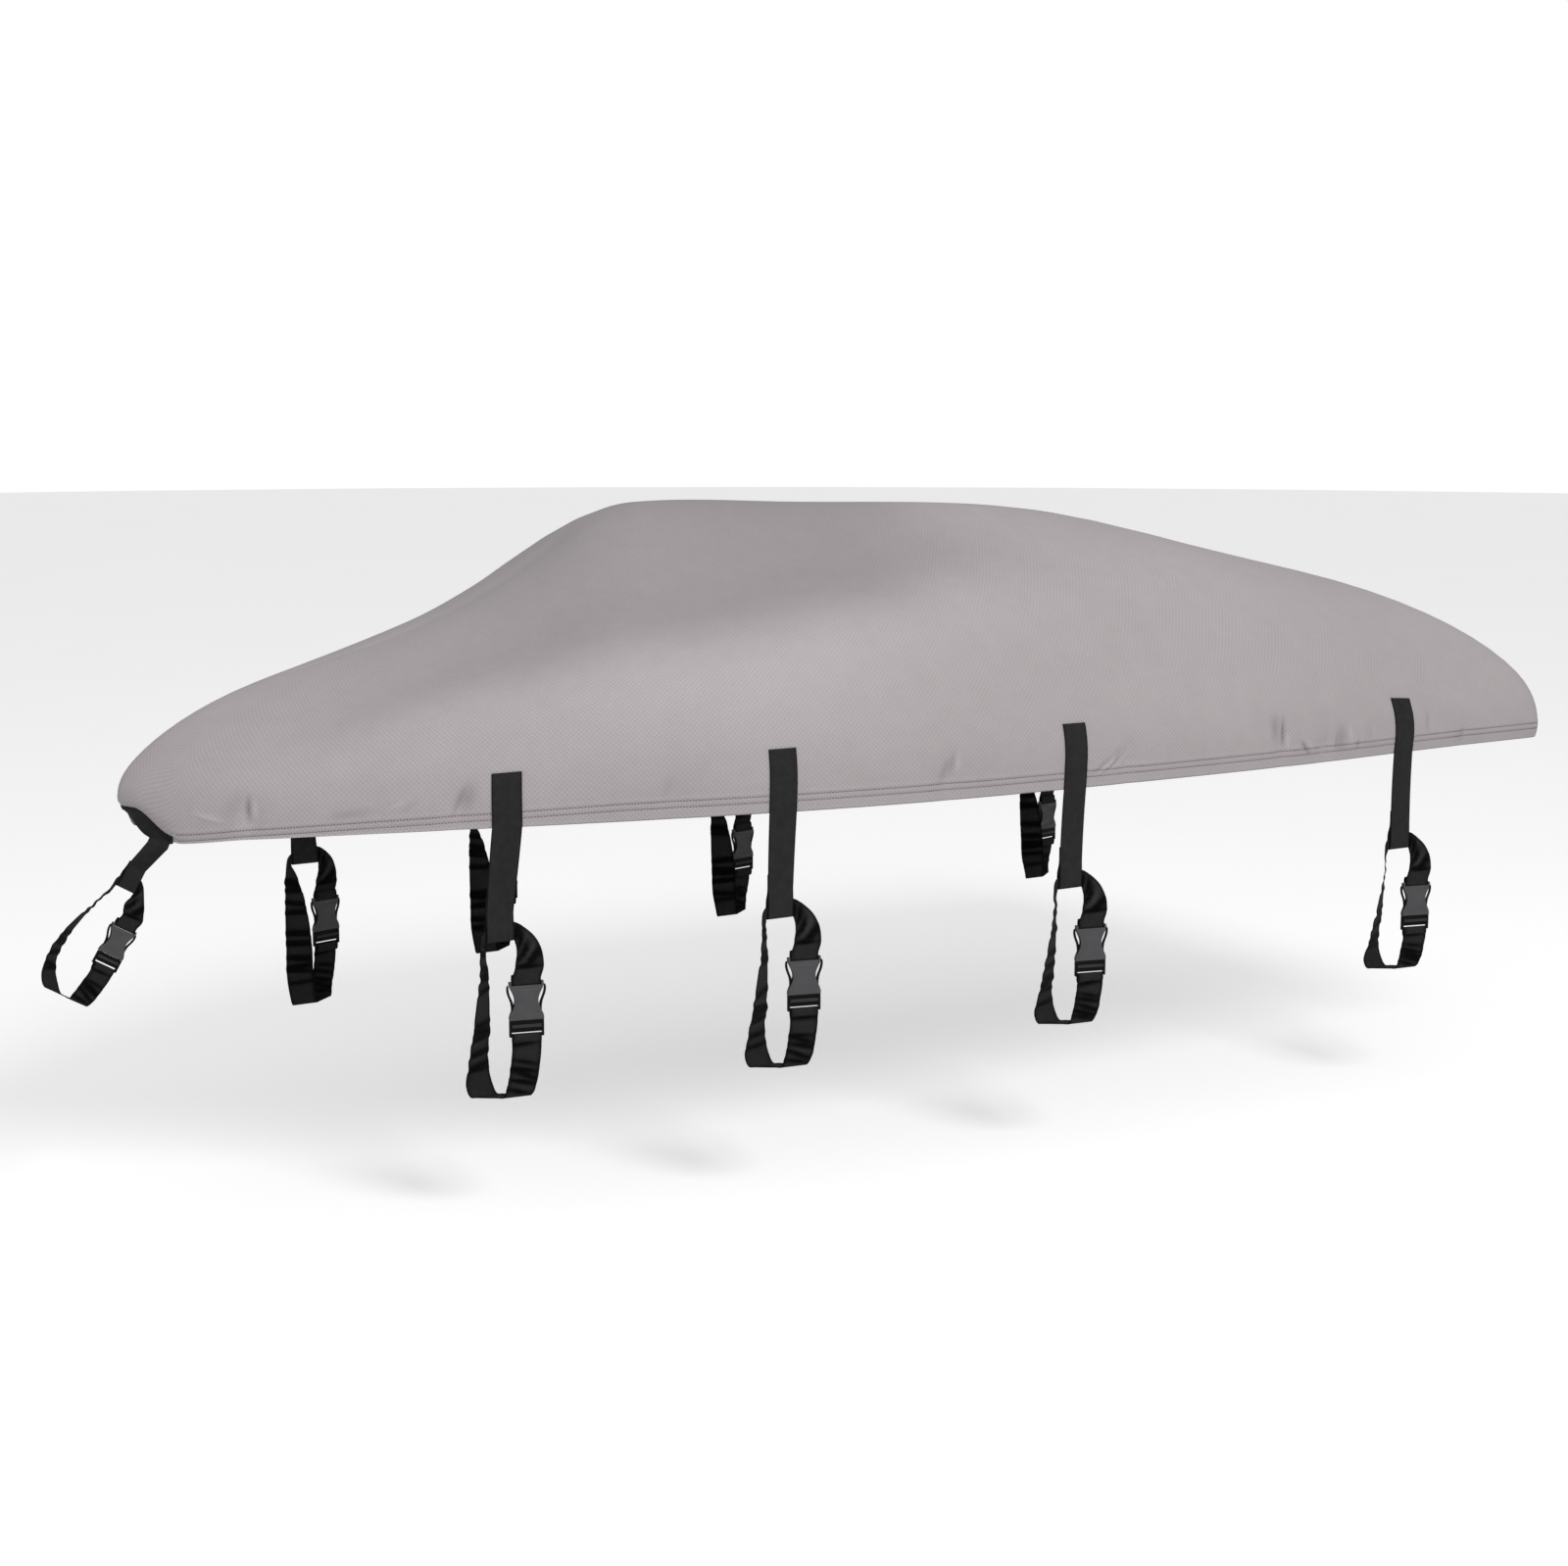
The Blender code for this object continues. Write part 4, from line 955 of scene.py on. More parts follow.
        # Painted shade along each row of stitches
        for row in STITCH_ROWS:
            tone -= SEAM_DULL * math.exp(-(((above_hem - row) / SEAM_HALF_WIDTH) ** 2))
        tone = 1 + (tone - 1) * self.seams
        # Painted shade along the lowest few millimetres of the hem's edge
        return tone * (EDGE_TONE + (1 - EDGE_TONE) * smoothstep(above_hem / EDGE_TOP))

    def climb_at(self, above_hem):
        """The climb at a height above the hem, which low down at the nose lies over the shoulder."""
        climb = above_hem / (self.shoulder - self.hem)
        if climb <= 1:
            return climb
        rise = (self.hem + above_hem - self.shoulder) / (self.crown - self.shoulder)
        return 1 + math.asin(rise ** (self.power / 2)) / (math.pi / 2)

    def rise(self, outboard):
        """How high the roof stands at a share of the way out from its crown, whose ridge is rounded over."""
        if outboard >= CROWN_ROUND:
            return (1 - outboard**self.power) ** (1 / self.power)
        edge = 1 - CROWN_ROUND**self.power
        steepness = CROWN_ROUND ** (self.power - 1) * edge ** (1 / self.power - 1)
        return edge ** (1 / self.power) + steepness * (CROWN_ROUND**2 - outboard**2) / (2 * CROWN_ROUND)

    def sharp_form(self, climb):
        """A place on the smooth form, with a corner at the shoulder: climb is 1 there and 2 at the crown."""
        if climb < 1:
            spot = self.foot - self.away * self.tuck * (1 - climb) ** 2
            return Vector((spot.x, spot.y, self.hem + (self.shoulder - self.hem) * climb))
        turn = math.pi / 2 * (climb - 1)
        outboard = max(math.cos(turn), 0) ** (2 / self.power)
        spot = self.foot.lerp(Vector((self.spine_at, 0, 0)), 1 - outboard)
        height = self.shoulder + (self.crown - self.shoulder) * self.rise(outboard)
        return Vector((spot.x, spot.y, height))

    def form(self, climb):
        """A place on the form at the same height as sharp_form gives, with the shoulder's corner rounded."""
        sharp = self.sharp_form(climb)
        if not ROUND_LOW < climb < ROUND_HIGH:
            return sharp
        low, high = self.sharp_form(ROUND_LOW), self.sharp_form(ROUND_HIGH)
        turn = math.pi / 2 * (ROUND_HIGH - 1)
        inboard = 1 - math.cos(turn) ** (2 / self.power)
        steepness = (self.crown - self.shoulder) * math.tan(turn) ** (2 / self.power - 2)
        corner = Vector((self.foot.x, self.foot.y, high.z - steepness * inboard))
        bend, lead, rest = low.z - 2 * corner.z + high.z, corner.z - low.z, low.z - sharp.z
        t = rest / (-lead - math.sqrt(max(lead**2 - bend * rest, 0)))
        return low * (1 - t) ** 2 + corner * (2 * t * (1 - t)) + high * t**2

    def place(self, climb):
        """A place on the line: climb is 0 at the hem, 1 at the shoulder and 2 at the crown."""
        form = self.form(climb)
        turn = math.pi / 2 * max(climb - 1, 0)
        level = max(math.cos(turn), 0)
        above = form.z - self.hem
        drawn_in = (self.pucker(above) - self.relief(above)) * level
        spanned = self.swell(climb - 1) * math.sin(turn) * level * 2
        drawn_in += spanned * smoothstep(level / CROWN_PLAIN)
        inward = self.away * -level + Vector((0, 0, -math.sin(turn)))
        place = to_frame(*form) + inward * drawn_in
        if climb > CROWN_CLIMB:
            place.y = 0.0
        return place

    def at_seam(self, above_hem):
        """A place on the line at a height above the hem, before the seams are lowered."""
        return self.place(self.climb_at(self.lowered(above_hem)))


PLAN = Plan()


def line_arcs():
    """Where the cloth's lines stand round each side: close at its creases, at the nose and at the corners."""
    crowded = []
    for from_bow, _, slant, half_length, half_width, _ in (*CREASES[PORT], *CREASES[STARBOARD]):
        reach = half_length * abs(math.sin(math.radians(slant))) + CREASE_REACH * half_width
        crowded.append((PLAN.arc_at(from_bow), reach))
    corner = PLAN.arc_at(LENGTH - STERN_CORNER - CORNER_LEAD)
    corner_end = corner + STERN_CORNER * math.pi / 2
    arcs, arc = [], 0.0
    while arc < PLAN.length - PLAIN_STEP / 2:
        arcs.append(arc)
        if any(abs(arc - middle) < reach for middle, reach in crowded):
            arc += CREASE_STEP
        elif arc < NOSE_ARC:
            arc += NOSE_STEP
        elif corner <= arc < corner_end:
            arc += CORNER_STEP
        else:
            arc += PLAIN_STEP
    return arcs + [PLAN.length]


def cloth_line(arc, side):
    """One line of the cloth, close-set over the hem and its stitches.

    Its points, each one's distance by the hem and up the cloth, and how pale each is.
    """
    line = Line(PLAN, arc, side)
    climbs = [line.climb_at(line.lowered(above)) for above in HEM_LINES]
    start = climbs[-1]
    shoulder = max(1.0, start + SHOULDER_ROOM)
    for k in range(1, SKIRT_LINES + 1):
        climbs.append(start + (shoulder - start) * k / (SKIRT_LINES + 1))
    for k in range(ROOF_LINES + 1):
        climbs.append(shoulder + (2 - shoulder) * (k / ROOF_LINES) ** ROOF_CROWDING)
    points = [line.place(climb) for climb in climbs]
    weave = [(arc, 0.0)]
    for before, after in zip(points, points[1:]):
        weave.append((arc, weave[-1][1] + (after - before).length))
    return points, weave, [line.tone(climb) for climb in climbs]


# ------------------------------------------------------------------ meshes
# Points this close are merged, and edges this short are dropped
MERGED, SLIVER = 0.00005, 0.00002
# The angle in degrees above which faces meet at an edge, and on softly rounded mouldings
EDGE_ANGLE, SOFT_EDGE_ANGLE = 50, 35
# A face looks one way where its normal's share in that direction is above this
FACING = 0.9


def new_piece(name, mesh):
    """A piece of the cover, drawn smooth, with the body that carries it."""
    for polygon in mesh.polygons:
        polygon.use_smooth = True
    piece = bpy.data.objects.new(name, mesh)
    bpy.context.scene.collection.objects.link(piece)
    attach(piece, "root")
    return piece


def make_active(piece):
    """Selects one object alone."""
    bpy.ops.object.select_all(action="DESELECT")
    bpy.context.view_layer.objects.active = piece
    piece.select_set(True)


def apply_modifier(piece, kind, **settings):
    """Gives a piece a modifier and applies it."""
    make_active(piece)
    modifier = piece.modifiers.new(kind.lower(), kind)
    for name, value in settings.items():
        setattr(modifier, name, value)
    bpy.ops.object.modifier_apply(modifier=modifier.name)


def thicken(piece, thickness, offset, even=False):
    """Gives an open sheet its thickness: offset -1 keeps the sheet as the outer face, 0 as the middle.

    A sheet with sharp creases isn't thickened evenly, as its corners would be drawn far out.
    """
    apply_modifier(
        piece, "SOLIDIFY", thickness=thickness, offset=offset, use_even_offset=even
    )
    bpy.ops.object.shade_smooth_by_angle(angle=math.radians(EDGE_ANGLE))


def woven_sheet(name, grid, weave, tones, finish, slot, closed=False):
    """An open sheet through rows of points, or one whose last row joins its first.

    weave is each point's place along and across the weave, and tones how pale it is, or None if even.
    """
    sheet = bmesh.new()
    uv = sheet.loops.layers.uv.new("weave")
    tone = sheet.verts.layers.float.new("tone")
    verts, where = [], {}
    for i, points in enumerate(grid):
        verts.append([sheet.verts.new(point) for point in points])
        for k, vert in enumerate(verts[i]):
            vert[tone] = tones[i][k] if tones else 1.0
            where[vert] = weave[i][k]
    for row, following in zip(verts, verts[1:] + verts[:1] if closed else verts[1:]):
        for k in range(len(row) - 1):
            face = sheet.faces.new((row[k], row[k + 1], following[k + 1], following[k]))
            for corner in face.loops:
                corner[uv].uv = where[corner.vert]
    bmesh.ops.remove_doubles(sheet, verts=sheet.verts, dist=MERGED)
    bmesh.ops.dissolve_degenerate(sheet, edges=sheet.edges, dist=SLIVER)
    return mesh_piece(name, sheet, finish)


def mesh_piece(name, shape, finish):
    """A piece made from a finished shape, with its finish."""
    mesh = bpy.data.meshes.new(name)
    shape.to_mesh(mesh)
    shape.free()
    mesh.materials.append(finish)
    return new_piece(name, mesh)


class Stitches:
    """Stitches of thread, each a slim pointed grain half sunk in what it holds."""

    SHANK = 0.55  # The share of a stitch between its two tapered ends

    def __init__(self, length, width):
        self.length = length
        self.width = width
        self.mesh = bmesh.new()

    def add(self, place, along, outward):
        """One stitch that lies along one direction, on a face that looks outward."""
        along = along.normalized()
        aside = along.cross(outward).normalized()
        up = aside.cross(along)
        shape = self.mesh
        half, thick = self.length / 2, self.width / 2
        tips = [shape.verts.new(place + along * half * end) for end in (-1, 1)]
        rings = []
        for end in (-self.SHANK, self.SHANK):
            middle = place + along * half * end
            rings.append(
                [
                    shape.verts.new(middle + aside * thick * cos + up * thick * sin)
                    for cos, sin in ((1, 0), (0, 1), (-1, 0), (0, -1))
                ]
            )
        for k in range(4):
            after = (k + 1) % 4
            shape.faces.new((rings[0][k], rings[1][k], rings[1][after], rings[0][after]))
            shape.faces.new((tips[0], rings[0][k], rings[0][after]))
            shape.faces.new((rings[1][k], tips[1], rings[1][after]))

    def finish(self, name, finish, slot):
        """All the stitches as one piece."""
        bmesh.ops.recalc_face_normals(self.mesh, faces=self.mesh.faces)
        return mesh_piece(name, self.mesh, finish)


# ------------------------------------------------------------------ straps
def across_row(middle, direction, width, columns=STRAP_COLUMNS):
    """Points across a strap, evenly spaced."""
    half = direction.normalized() * (width / 2)
    return [middle - half + half * 2 * (k / (columns - 1)) for k in range(columns)]


class Hang:
    """The frame at the lower edge of a sleeve: across the strap, out from the boat, and down.

    spread is how much further back than the table's the loop's back leg swings halfway down, shift moves
    the buckle across, and hump_in draws the hump over the buckle in.
    """

    def __init__(self, origin, across, out, scale=1.0, spread=1.0, shift=0.0, hump_in=0.0):
        self.origin = origin
        self.scale = scale
        self.spread = spread
        self.shift = shift
        self.hump_in = hump_in
        self.buckle_across = BUCKLE_ACROSS + shift
        self.across = across.normalized()
        self.out = out.normalized()
        self.down = self.across.cross(self.out)
        if self.down.z > 0:
            self.down = -self.down

    def point(self, across, out, down):
        """A place in this frame, at the tie-down's own scale."""
        return self.origin + self.vector(across, out, down) * self.scale

    def vector(self, across, out, down):
        """A direction in this frame."""
        return self.across * across + self.out * out + self.down * down

    def row(self, place, direction, width=WEB_WIDTH):
        """Points across a strap at a place, both given in this frame."""
        return across_row(self.point(*place), self.vector(*direction), width * self.scale)

    def buckle_place(self):
        """Where the buckle stands: its own X across, Y up and Z to the front."""
        across = self.vector(*FACE_ACROSS)
        front = self.vector(*FACE_FRONT)
        up = -self.down
        if across.cross(up).dot(front) < 0:
            across = -across
        place = Matrix((across, up, front)).transposed().to_4x4()
        place.translation = self.point(self.buckle_across, BUCKLE_OUT, BUCKLE_TOP + BODY_LENGTH)
        return place @ Matrix.Scale(self.scale, 4)


def smooth_rows(rows, spacing, slack=1.0):
    """More rows along a strap, on smooth curves through the given ones, and where those now stand.

    slack is 1 for full curves, and 0 for straight runs from row to row.
    """
    chords = [
        max((a[0] - b[0]).length, (a[-1] - b[-1]).length, 1e-5) for a, b in zip(rows, rows[1:])
    ]
    finer, marks = [], []
    for i, chord in enumerate(chords):
        marks.append(len(finer))
        here, there = rows[i], rows[i + 1]
        before, after = rows[max(i - 1, 0)], rows[min(i + 2, len(rows) - 1)]
        chord_before = chords[i - 1] if i else chord
        chord_after = chords[i + 1] if i + 1 < len(chords) else chord
        for k in range(max(1, round(chord / spacing))):
            t = k / max(1, round(chord / spacing))
            row = []
            for a, b, c, d in zip(before, here, there, after):
                start = ((b - a) / chord_before + (c - b) / chord) / 2 if i else (c - b) / chord
                end = (c - b) / chord
                if i + 1 < len(chords):
                    end = (end + (d - c) / chord_after) / 2
                row.append(b.lerp(c, t).lerp(hermite(b, c, start, end, t, chord), slack))
            finer.append(row)
    marks.append(len(finer))
    return finer + [rows[-1]], marks


def strap_weave(rows, scale):
    """Each point's place along and across a strap's weave, and the strap's length."""
    weave, distance = [], 0.0
    for k, row in enumerate(rows):
        if k:
            middle = len(row) // 2
            distance += (row[middle] - rows[k - 1][middle]).length
        half = WEB_WIDTH / 2
        weave.append(
            [(distance / scale, -half + 2 * half * j / (len(row) - 1)) for j in range(len(row))]
        )
    return weave, distance


def face_normal(rows, i, j):
    """The direction square to a strap at one of its points."""
    row = rows[i]
    along = rows[min(i + 1, len(rows) - 1)][j] - rows[max(i - 1, 0)][j]
    across = row[min(j + 1, len(row) - 1)] - row[max(j - 1, 0)]
    return along.cross(across).normalized()


def crease_loop(rows, marks, first, scale, depth, turn):
    """A loop strap's rows, raised and sunk at its creases, and how pale each point is: painted shade at its
    edges and in the troughs, and painted highlight on the crests.

    turn shifts the creases a little from strap to strap.
    """
    weave, _ = strap_weave(rows, 1.0)
    raised = [list(row) for row in rows]
    tones = [[LOOP_TONE] * len(row) for row in rows]
    for k, (stretch, along, across, slant, half_length, half_width, height) in enumerate(LOOP_CREASES):
        start, end = (marks[min(first + n, len(marks) - 1)] for n in STRETCHES[stretch])
        low, high = weave[start][0][0], weave[end][0][0]
        drift = CREASE_DRIFT * math.sin(turn * DRIFT_BY_STRAP + k * DRIFT_BY_CREASE)
        middle = low + (high - low) * min(max(along + drift, STRETCH_END), 1 - STRETCH_END)
        lean = slant + CREASE_LEAN * math.sin(turn * LEAN_BY_STRAP + k * LEAN_BY_CREASE)
        for i in range(max(start, 1), min(end + 1, len(rows) - 1)):
            fade = smoothstep(min(i - start, end - i) / FADE_ROWS)
            width = (rows[i][0] - rows[i][-1]).length
            away = weave[i][0][0] - middle
            for j in range(len(rows[i])):
                aside = width * (j / (len(rows[i]) - 1) - 0.5) - across * width / 2
                rise = fold_height(away, aside, lean, half_length * scale, half_width * scale, 1.0)
                if rise:
                    raised[i][j] += face_normal(rows, i, j) * (height * rise * fade * depth * scale)
                    # Painted shade in the crease's trough, and painted highlight on its crest
                    tones[i][j] *= max(1 + WEB_CREASE_TONE * height * rise * fade, DARKEST)
    # Painted shade along the loop's two edges
    for row in tones:
        row[0] *= LOOP_EDGE_TONE
        row[-1] *= LOOP_EDGE_TONE
    return raised, tones


def sleeve_rows(hang, flap=SLEEVE_FLAP):
    """The end of an upper strap: down the front of its sleeve, round, up the back and sewn flat."""
    gap = SLEEVE_HALF_GAP
    path = [(out, share * SLEEVE_DEPTH) for out, share in SLEEVE_FRONT]
    for k in range(SLEEVE_STEPS + 1):
        turn = math.pi * k / SLEEVE_STEPS
        path.append((gap * (math.cos(turn) - 1), gap * (math.sin(turn) - 1)))
    path += [(out, share * SLEEVE_DEPTH) for out, share in SLEEVE_BACK]
    path += [(-LAYER_STEP, -SLEEVE_DEPTH - above) for above in (SLEEVE_LAP, flap)]
    return [hang.row((0, out, down), (1, 0, 0)) for out, down in path]


def wrap_rows(hang, bar_down, approach):
    """The end of a loop strap round a buckle's bar. approach is 1 where the strap comes from above."""
    path = [WRAP_START]
    for k in range(WRAP_STEPS + 1):
        turn = math.pi * k / WRAP_STEPS
        path.append((WRAP_RADIUS * math.cos(turn), WRAP_SHIFT + WRAP_RADIUS * math.sin(turn)))
    rows = []
    for out, beyond in (*path, *WRAP_ENDS):
        spot = Vector((hang.buckle_across, BUCKLE_OUT, bar_down + approach * beyond))
        rows.append(hang.row(spot + FACE_FRONT * out, FACE_ACROSS * approach))
    return rows


def loop_rows(hang, drop):
    """The whole loop strap, from its end at the buckle's body to its end at the buckle's frame."""
    rows = list(reversed(wrap_rows(hang, BUCKLE_TOP + BAR_INSET, 1)))
    first = len(rows)
    for across, out, down, share, width, facing in LOOP:
        if share and across < 0:
            swing = 1 + (hang.spread - 1) * math.sin(math.pi * down)
            across *= swing
            out *= swing
        elif across > SLEEVE_CLEAR:
            hump = max(0, 1 - abs(down - HUMP_MIDDLE) / HUMP_REACH) * (1 - share)
            across += hang.shift - hang.hump_in * hump
        if share:
            down *= drop
        rows.append(hang.row((across, out, down), facing, width))
    frame_bar = BUCKLE_TOP + BODY_LENGTH + BUCKLE_GAP + FRAME_LENGTH - BAR_INSET
    return rows + wrap_rows(hang, frame_bar, -1), first


# One tie-down: its name, the rows of its upper strap, its sleeve's frame and its loop's drop
TieDown = namedtuple("TieDown", "label rows hang drop")


def side_tie_down(side, number, from_bow, sewn_climb, sleeve_height, lean, drop):
    """One side tie-down. The upper strap follows the cloth down to the hem and hangs free below it."""
    middle = PLAN.arc_at(from_bow)
    away = PLAN.outward(middle, side)
    along = Vector((-away.y, away.x, 0)) * -side
    half = WEB_WIDTH / 2
    arcs = [middle - half + 2 * half * k / (STRAP_COLUMNS - 1) for k in range(STRAP_COLUMNS)]
    lines = [Line(PLAN, arc, side) for arc in arcs]
    reach = lines[0].shoulder - lines[0].hem
    steps = math.ceil(sewn_climb * reach / SEWN_ROW)
    rows = []
    for k in range(steps + 1):
        climb = sewn_climb + (SEWN_LOWEST - sewn_climb) * k / steps
        rows.append([line.place(climb) + away * (SEWN_GAP + WEB / 2) for line in lines])
    below = rows[-1][STRAP_COLUMNS // 2].copy()
    lowest_height = to_frame(0, 0, sleeve_height).z
    straight_down = below.z - lowest_height - SLEEVE_DEPTH
    aft = Vector((1, 0, 0))
    for k in range(1, FREE_SHARES):
        share = k / FREE_SHARES
        sink = straight_down * share
        place = below - away * LEAN_IN * sink * (1 - LEAN_EASED * share) - along * lean * share
        place.z = below.z - sink
        rows.append(across_row(place, along.lerp(aft, share), WEB_WIDTH))
    lowest = below - away * LEAN_IN * straight_down * LEAN_LEFT - along * lean
    lowest.z = lowest_height
    hang = Hang(lowest, aft, Vector((0, side, 0)))
    sleeve, _ = smooth_rows(rows[-1:] + sleeve_rows(hang), ROW / 3, STRAIGHT)
    return TieDown(f"{SIDE_NAMES[side]}_{number}", rows + sleeve[1:], hang, drop)


def bow_tie_down():
    """The bow tie-down: its strap runs under the front of the nose, folds and hangs to its sleeve."""
    across = Vector((math.cos(BOW_TILT), 0, -math.sin(BOW_TILT)))
    port = Vector((0, -1, 0))
    out = port * math.cos(BOW_YAW) + across * math.sin(BOW_YAW)
    across = across * math.cos(BOW_YAW) - port * math.sin(BOW_YAW)
    hang = Hang(to_frame(*BOW_SLEEVE), across, out, *BOW_HANG)
    gap = SEWN_GAP + WEB / 2
    halfway = STRAP_COLUMNS // 2
    rows = []
    for k in range(BOW_SEWN_ROWS + 1):
        arc = BOW_SEWN_END * k / BOW_SEWN_ROWS
        line = Line(PLAN, arc, PORT)
        climb, from_bow, side, height = curve_through(BOW_SEWN, arc)
        lip = line.place(0) + line.away * gap - Vector((0, 0, BOW_LIP))
        inner = to_frame(from_bow, side, height)
        row = [inner.lerp(lip, j / halfway) for j in range(halfway)] + [lip]
        for j in range(1, STRAP_COLUMNS - halfway):
            share = climb * j / (STRAP_COLUMNS - 1 - halfway)
            row.append(line.place(share) + line.away * gap)
        rows.append(row)
    outer, inner = (to_frame(*edge) for edge in BOW_FOLD)
    fold = [inner.lerp(outer, j / (STRAP_COLUMNS - 1)) for j in range(STRAP_COLUMNS)]
    sleeve = sleeve_rows(hang, BOW_FLAP)
    run = [[a.lerp(b, share) for a, b in zip(fold, sleeve[0])] for share in BOW_RUN]
    free, _ = smooth_rows([rows[-1], fold, *run, *sleeve], ROW / 3, STRAIGHT)
    return TieDown("bow", rows + free[1:], hang, BOW_DROP)


def tie_downs():
    """All nine tie-downs."""
    made = [side_tie_down(side, *strap) for strap in SIDE_STRAPS for side in (PORT, STARBOARD)]
    return made + [bow_tie_down()]


def along_strap(rows, lengths, down, across, scale):
    """The place and the outward direction at a distance down a strap and across from its middle."""
    i = max(k for k in range(len(lengths) - 1) if lengths[k] <= down)
    t = (down - lengths[i]) / (lengths[i + 1] - lengths[i])
    columns = len(rows[0]) - 1
    step = min(max((across / (WEB_WIDTH * scale) + 0.5) * columns, 0), columns - 1e-6)
    j = int(step)
    edge = rows[i][j].lerp(rows[i][j + 1], step - j)
    next_edge = rows[i + 1][j].lerp(rows[i + 1][j + 1], step - j)
    return edge.lerp(next_edge, t), face_normal(rows, i, j)


def sew_line(stitches, tie, lengths, start, end, face, pitch):
    """Stitches in a straight row on one face of an upper strap, from one place on it to another."""
    scale = tie.hang.scale
    count = max(1, round(math.dist(start, end) * scale / pitch))
    spots = []
    for k in range(count + 1):
        down, across = (a + (b - a) * k / count for a, b in zip(start, end))
        spots.append(along_strap(tie.rows, lengths, down * scale, across * scale, scale))
    for (place, normal), (following, _) in zip(spots, spots[1:]):
        lifted = place.lerp(following, 0.5) + normal * face * (WEB * scale / 2 + THREAD_LIFT)
        stitches.add(lifted, following - place, normal * face)


# ------------------------------------------------------------------ buckles
def add_block(size, middle):
    """A rectangular block at its size and place, with nothing else selected."""
    bpy.ops.object.select_all(action="DESELECT")
    bpy.ops.mesh.primitive_cube_add(size=1, location=middle, scale=size)
    bpy.ops.object.transform_apply()
    return bpy.context.active_object


def pick(block, kind, test):
    """Selects the points or faces of a mesh in edit mode that pass a test."""
    mesh = bmesh.from_edit_mesh(block.data)
    for part in (*mesh.faces, *mesh.edges, *mesh.verts):
        part.select = False
    for part in getattr(mesh, kind):
        if test(part):
            part.select_set(True)
    mesh.select_flush(True)
    bmesh.update_edit_mesh(block.data)


def cut_sections(block, heights):
    """Cuts the faces of a block in edit mode across its length, so that each section can be shaped."""
    bpy.ops.mesh.select_mode(type="VERT")
    for height in heights:
        bpy.ops.mesh.select_all(action="SELECT")
        bpy.ops.mesh.bisect(plane_co=(0, height, 0), plane_no=(0, 1, 0))


def shape_section(block, height, share, middle=0, shift=0):
    """Shifts one section of a block across, and resizes it to a share of its width round its middle."""
    pick(block, "verts", lambda vert: abs(vert.co.y - height) < MERGED)
    bpy.ops.transform.translate(value=(shift, 0, 0))
    bpy.ops.transform.resize(value=(share, 1, 1), center_override=(middle + shift, height, 0))


def cut_out(block, size, middle):
    """Cuts a rectangular block out of a moulding."""
    cutter = add_block(size, middle)
    apply_modifier(block, "BOOLEAN", operation="DIFFERENCE", solver="EXACT", object=cutter)
    bpy.data.objects.remove(cutter)


def round_edges(block, radius, angle=EDGE_ANGLE):
    """Rounds the edges where faces meet at more than an angle in degrees."""
    apply_modifier(
        block,
        "BEVEL",
        width=radius,
        segments=3,
        limit_method="ANGLE",
        angle_limit=math.radians(angle),
    )


def open_bar(block, thickness, slot_end, slot_length, edge, side):
    """Cuts the strap's slot through a moulding and thins what is past it down to a round bar.

    The slot runs from slot_end towards the moulding's middle, and side is 1 where the bar is at its top.
    """
    size = (SLOT_WIDTH, slot_length, CUT_THROUGH)
    cut_out(block, size, (0, slot_end - side * slot_length / 2, 0))
    inner, outer = slot_end - side * BAR_OVERLAP, edge + side * BAR_WIDTH
    cut = (thickness - BAR_THICK) / 2 + BAR_CLEAR
    for face in (1, -1):
        cut_out(
            block,
            (SLOT_WIDTH, abs(outer - inner), cut),
            (0, (inner + outer) / 2, face * (BAR_THICK + cut) / 2),
        )


def waist(t):
    """Half the body's width at a share of its length: pinched where the prongs lie."""
    share = min(max((t - WAIST_START) / WAIST_SHARE, 0), 1)
    pinch = math.sin(math.pi * share) ** WAIST_POWER
    return (BUCKLE_WIDTH - (BUCKLE_WIDTH - WAIST_WIDTH) * pinch) / 2


def buckle_body(radius, grey):
    """The buckle's body: waisted, with a sunk panel on each face, a deep mouth, and a bar for the strap."""
    body = add_block((BUCKLE_WIDTH, BODY_LENGTH, BODY_THICK), (0, BODY_LENGTH / 2, 0))
    body.data.materials.append(grey)
    bpy.ops.object.mode_set(mode="EDIT")
    heights = [BODY_LENGTH * k / WAIST_STEPS for k in range(1, WAIST_STEPS)]
    cut_sections(body, heights)
    for k, height in enumerate(heights, 1):
        shape_section(body, height, waist(k / WAIST_STEPS) * 2 / BUCKLE_WIDTH)
    bpy.ops.mesh.select_mode(type="FACE")
    for face in (1, -1):
        pick(
            body,
            "faces",
            lambda part: part.normal.z * face > FACING
            and PANEL_LOW < part.calc_center_median().y < PANEL_HIGH,
        )
        bpy.ops.mesh.inset(thickness=PANEL_INSET, depth=0)
        bpy.ops.mesh.inset(thickness=PANEL_STEP, depth=-PANEL_SUNK)
    bpy.ops.object.mode_set(mode="OBJECT")
    round_edges(body, radius)
    bar = BODY_LENGTH - BAR_INSET
    open_bar(body, BODY_THICK, bar - BAR_WIDTH / 2, SLOT_LENGTH, bar, 1)
    cut_out(body, (CAVITY_WIDTH, CAVITY_DEPTH * 2, CAVITY_THICK), (0, 0, 0))
    return body


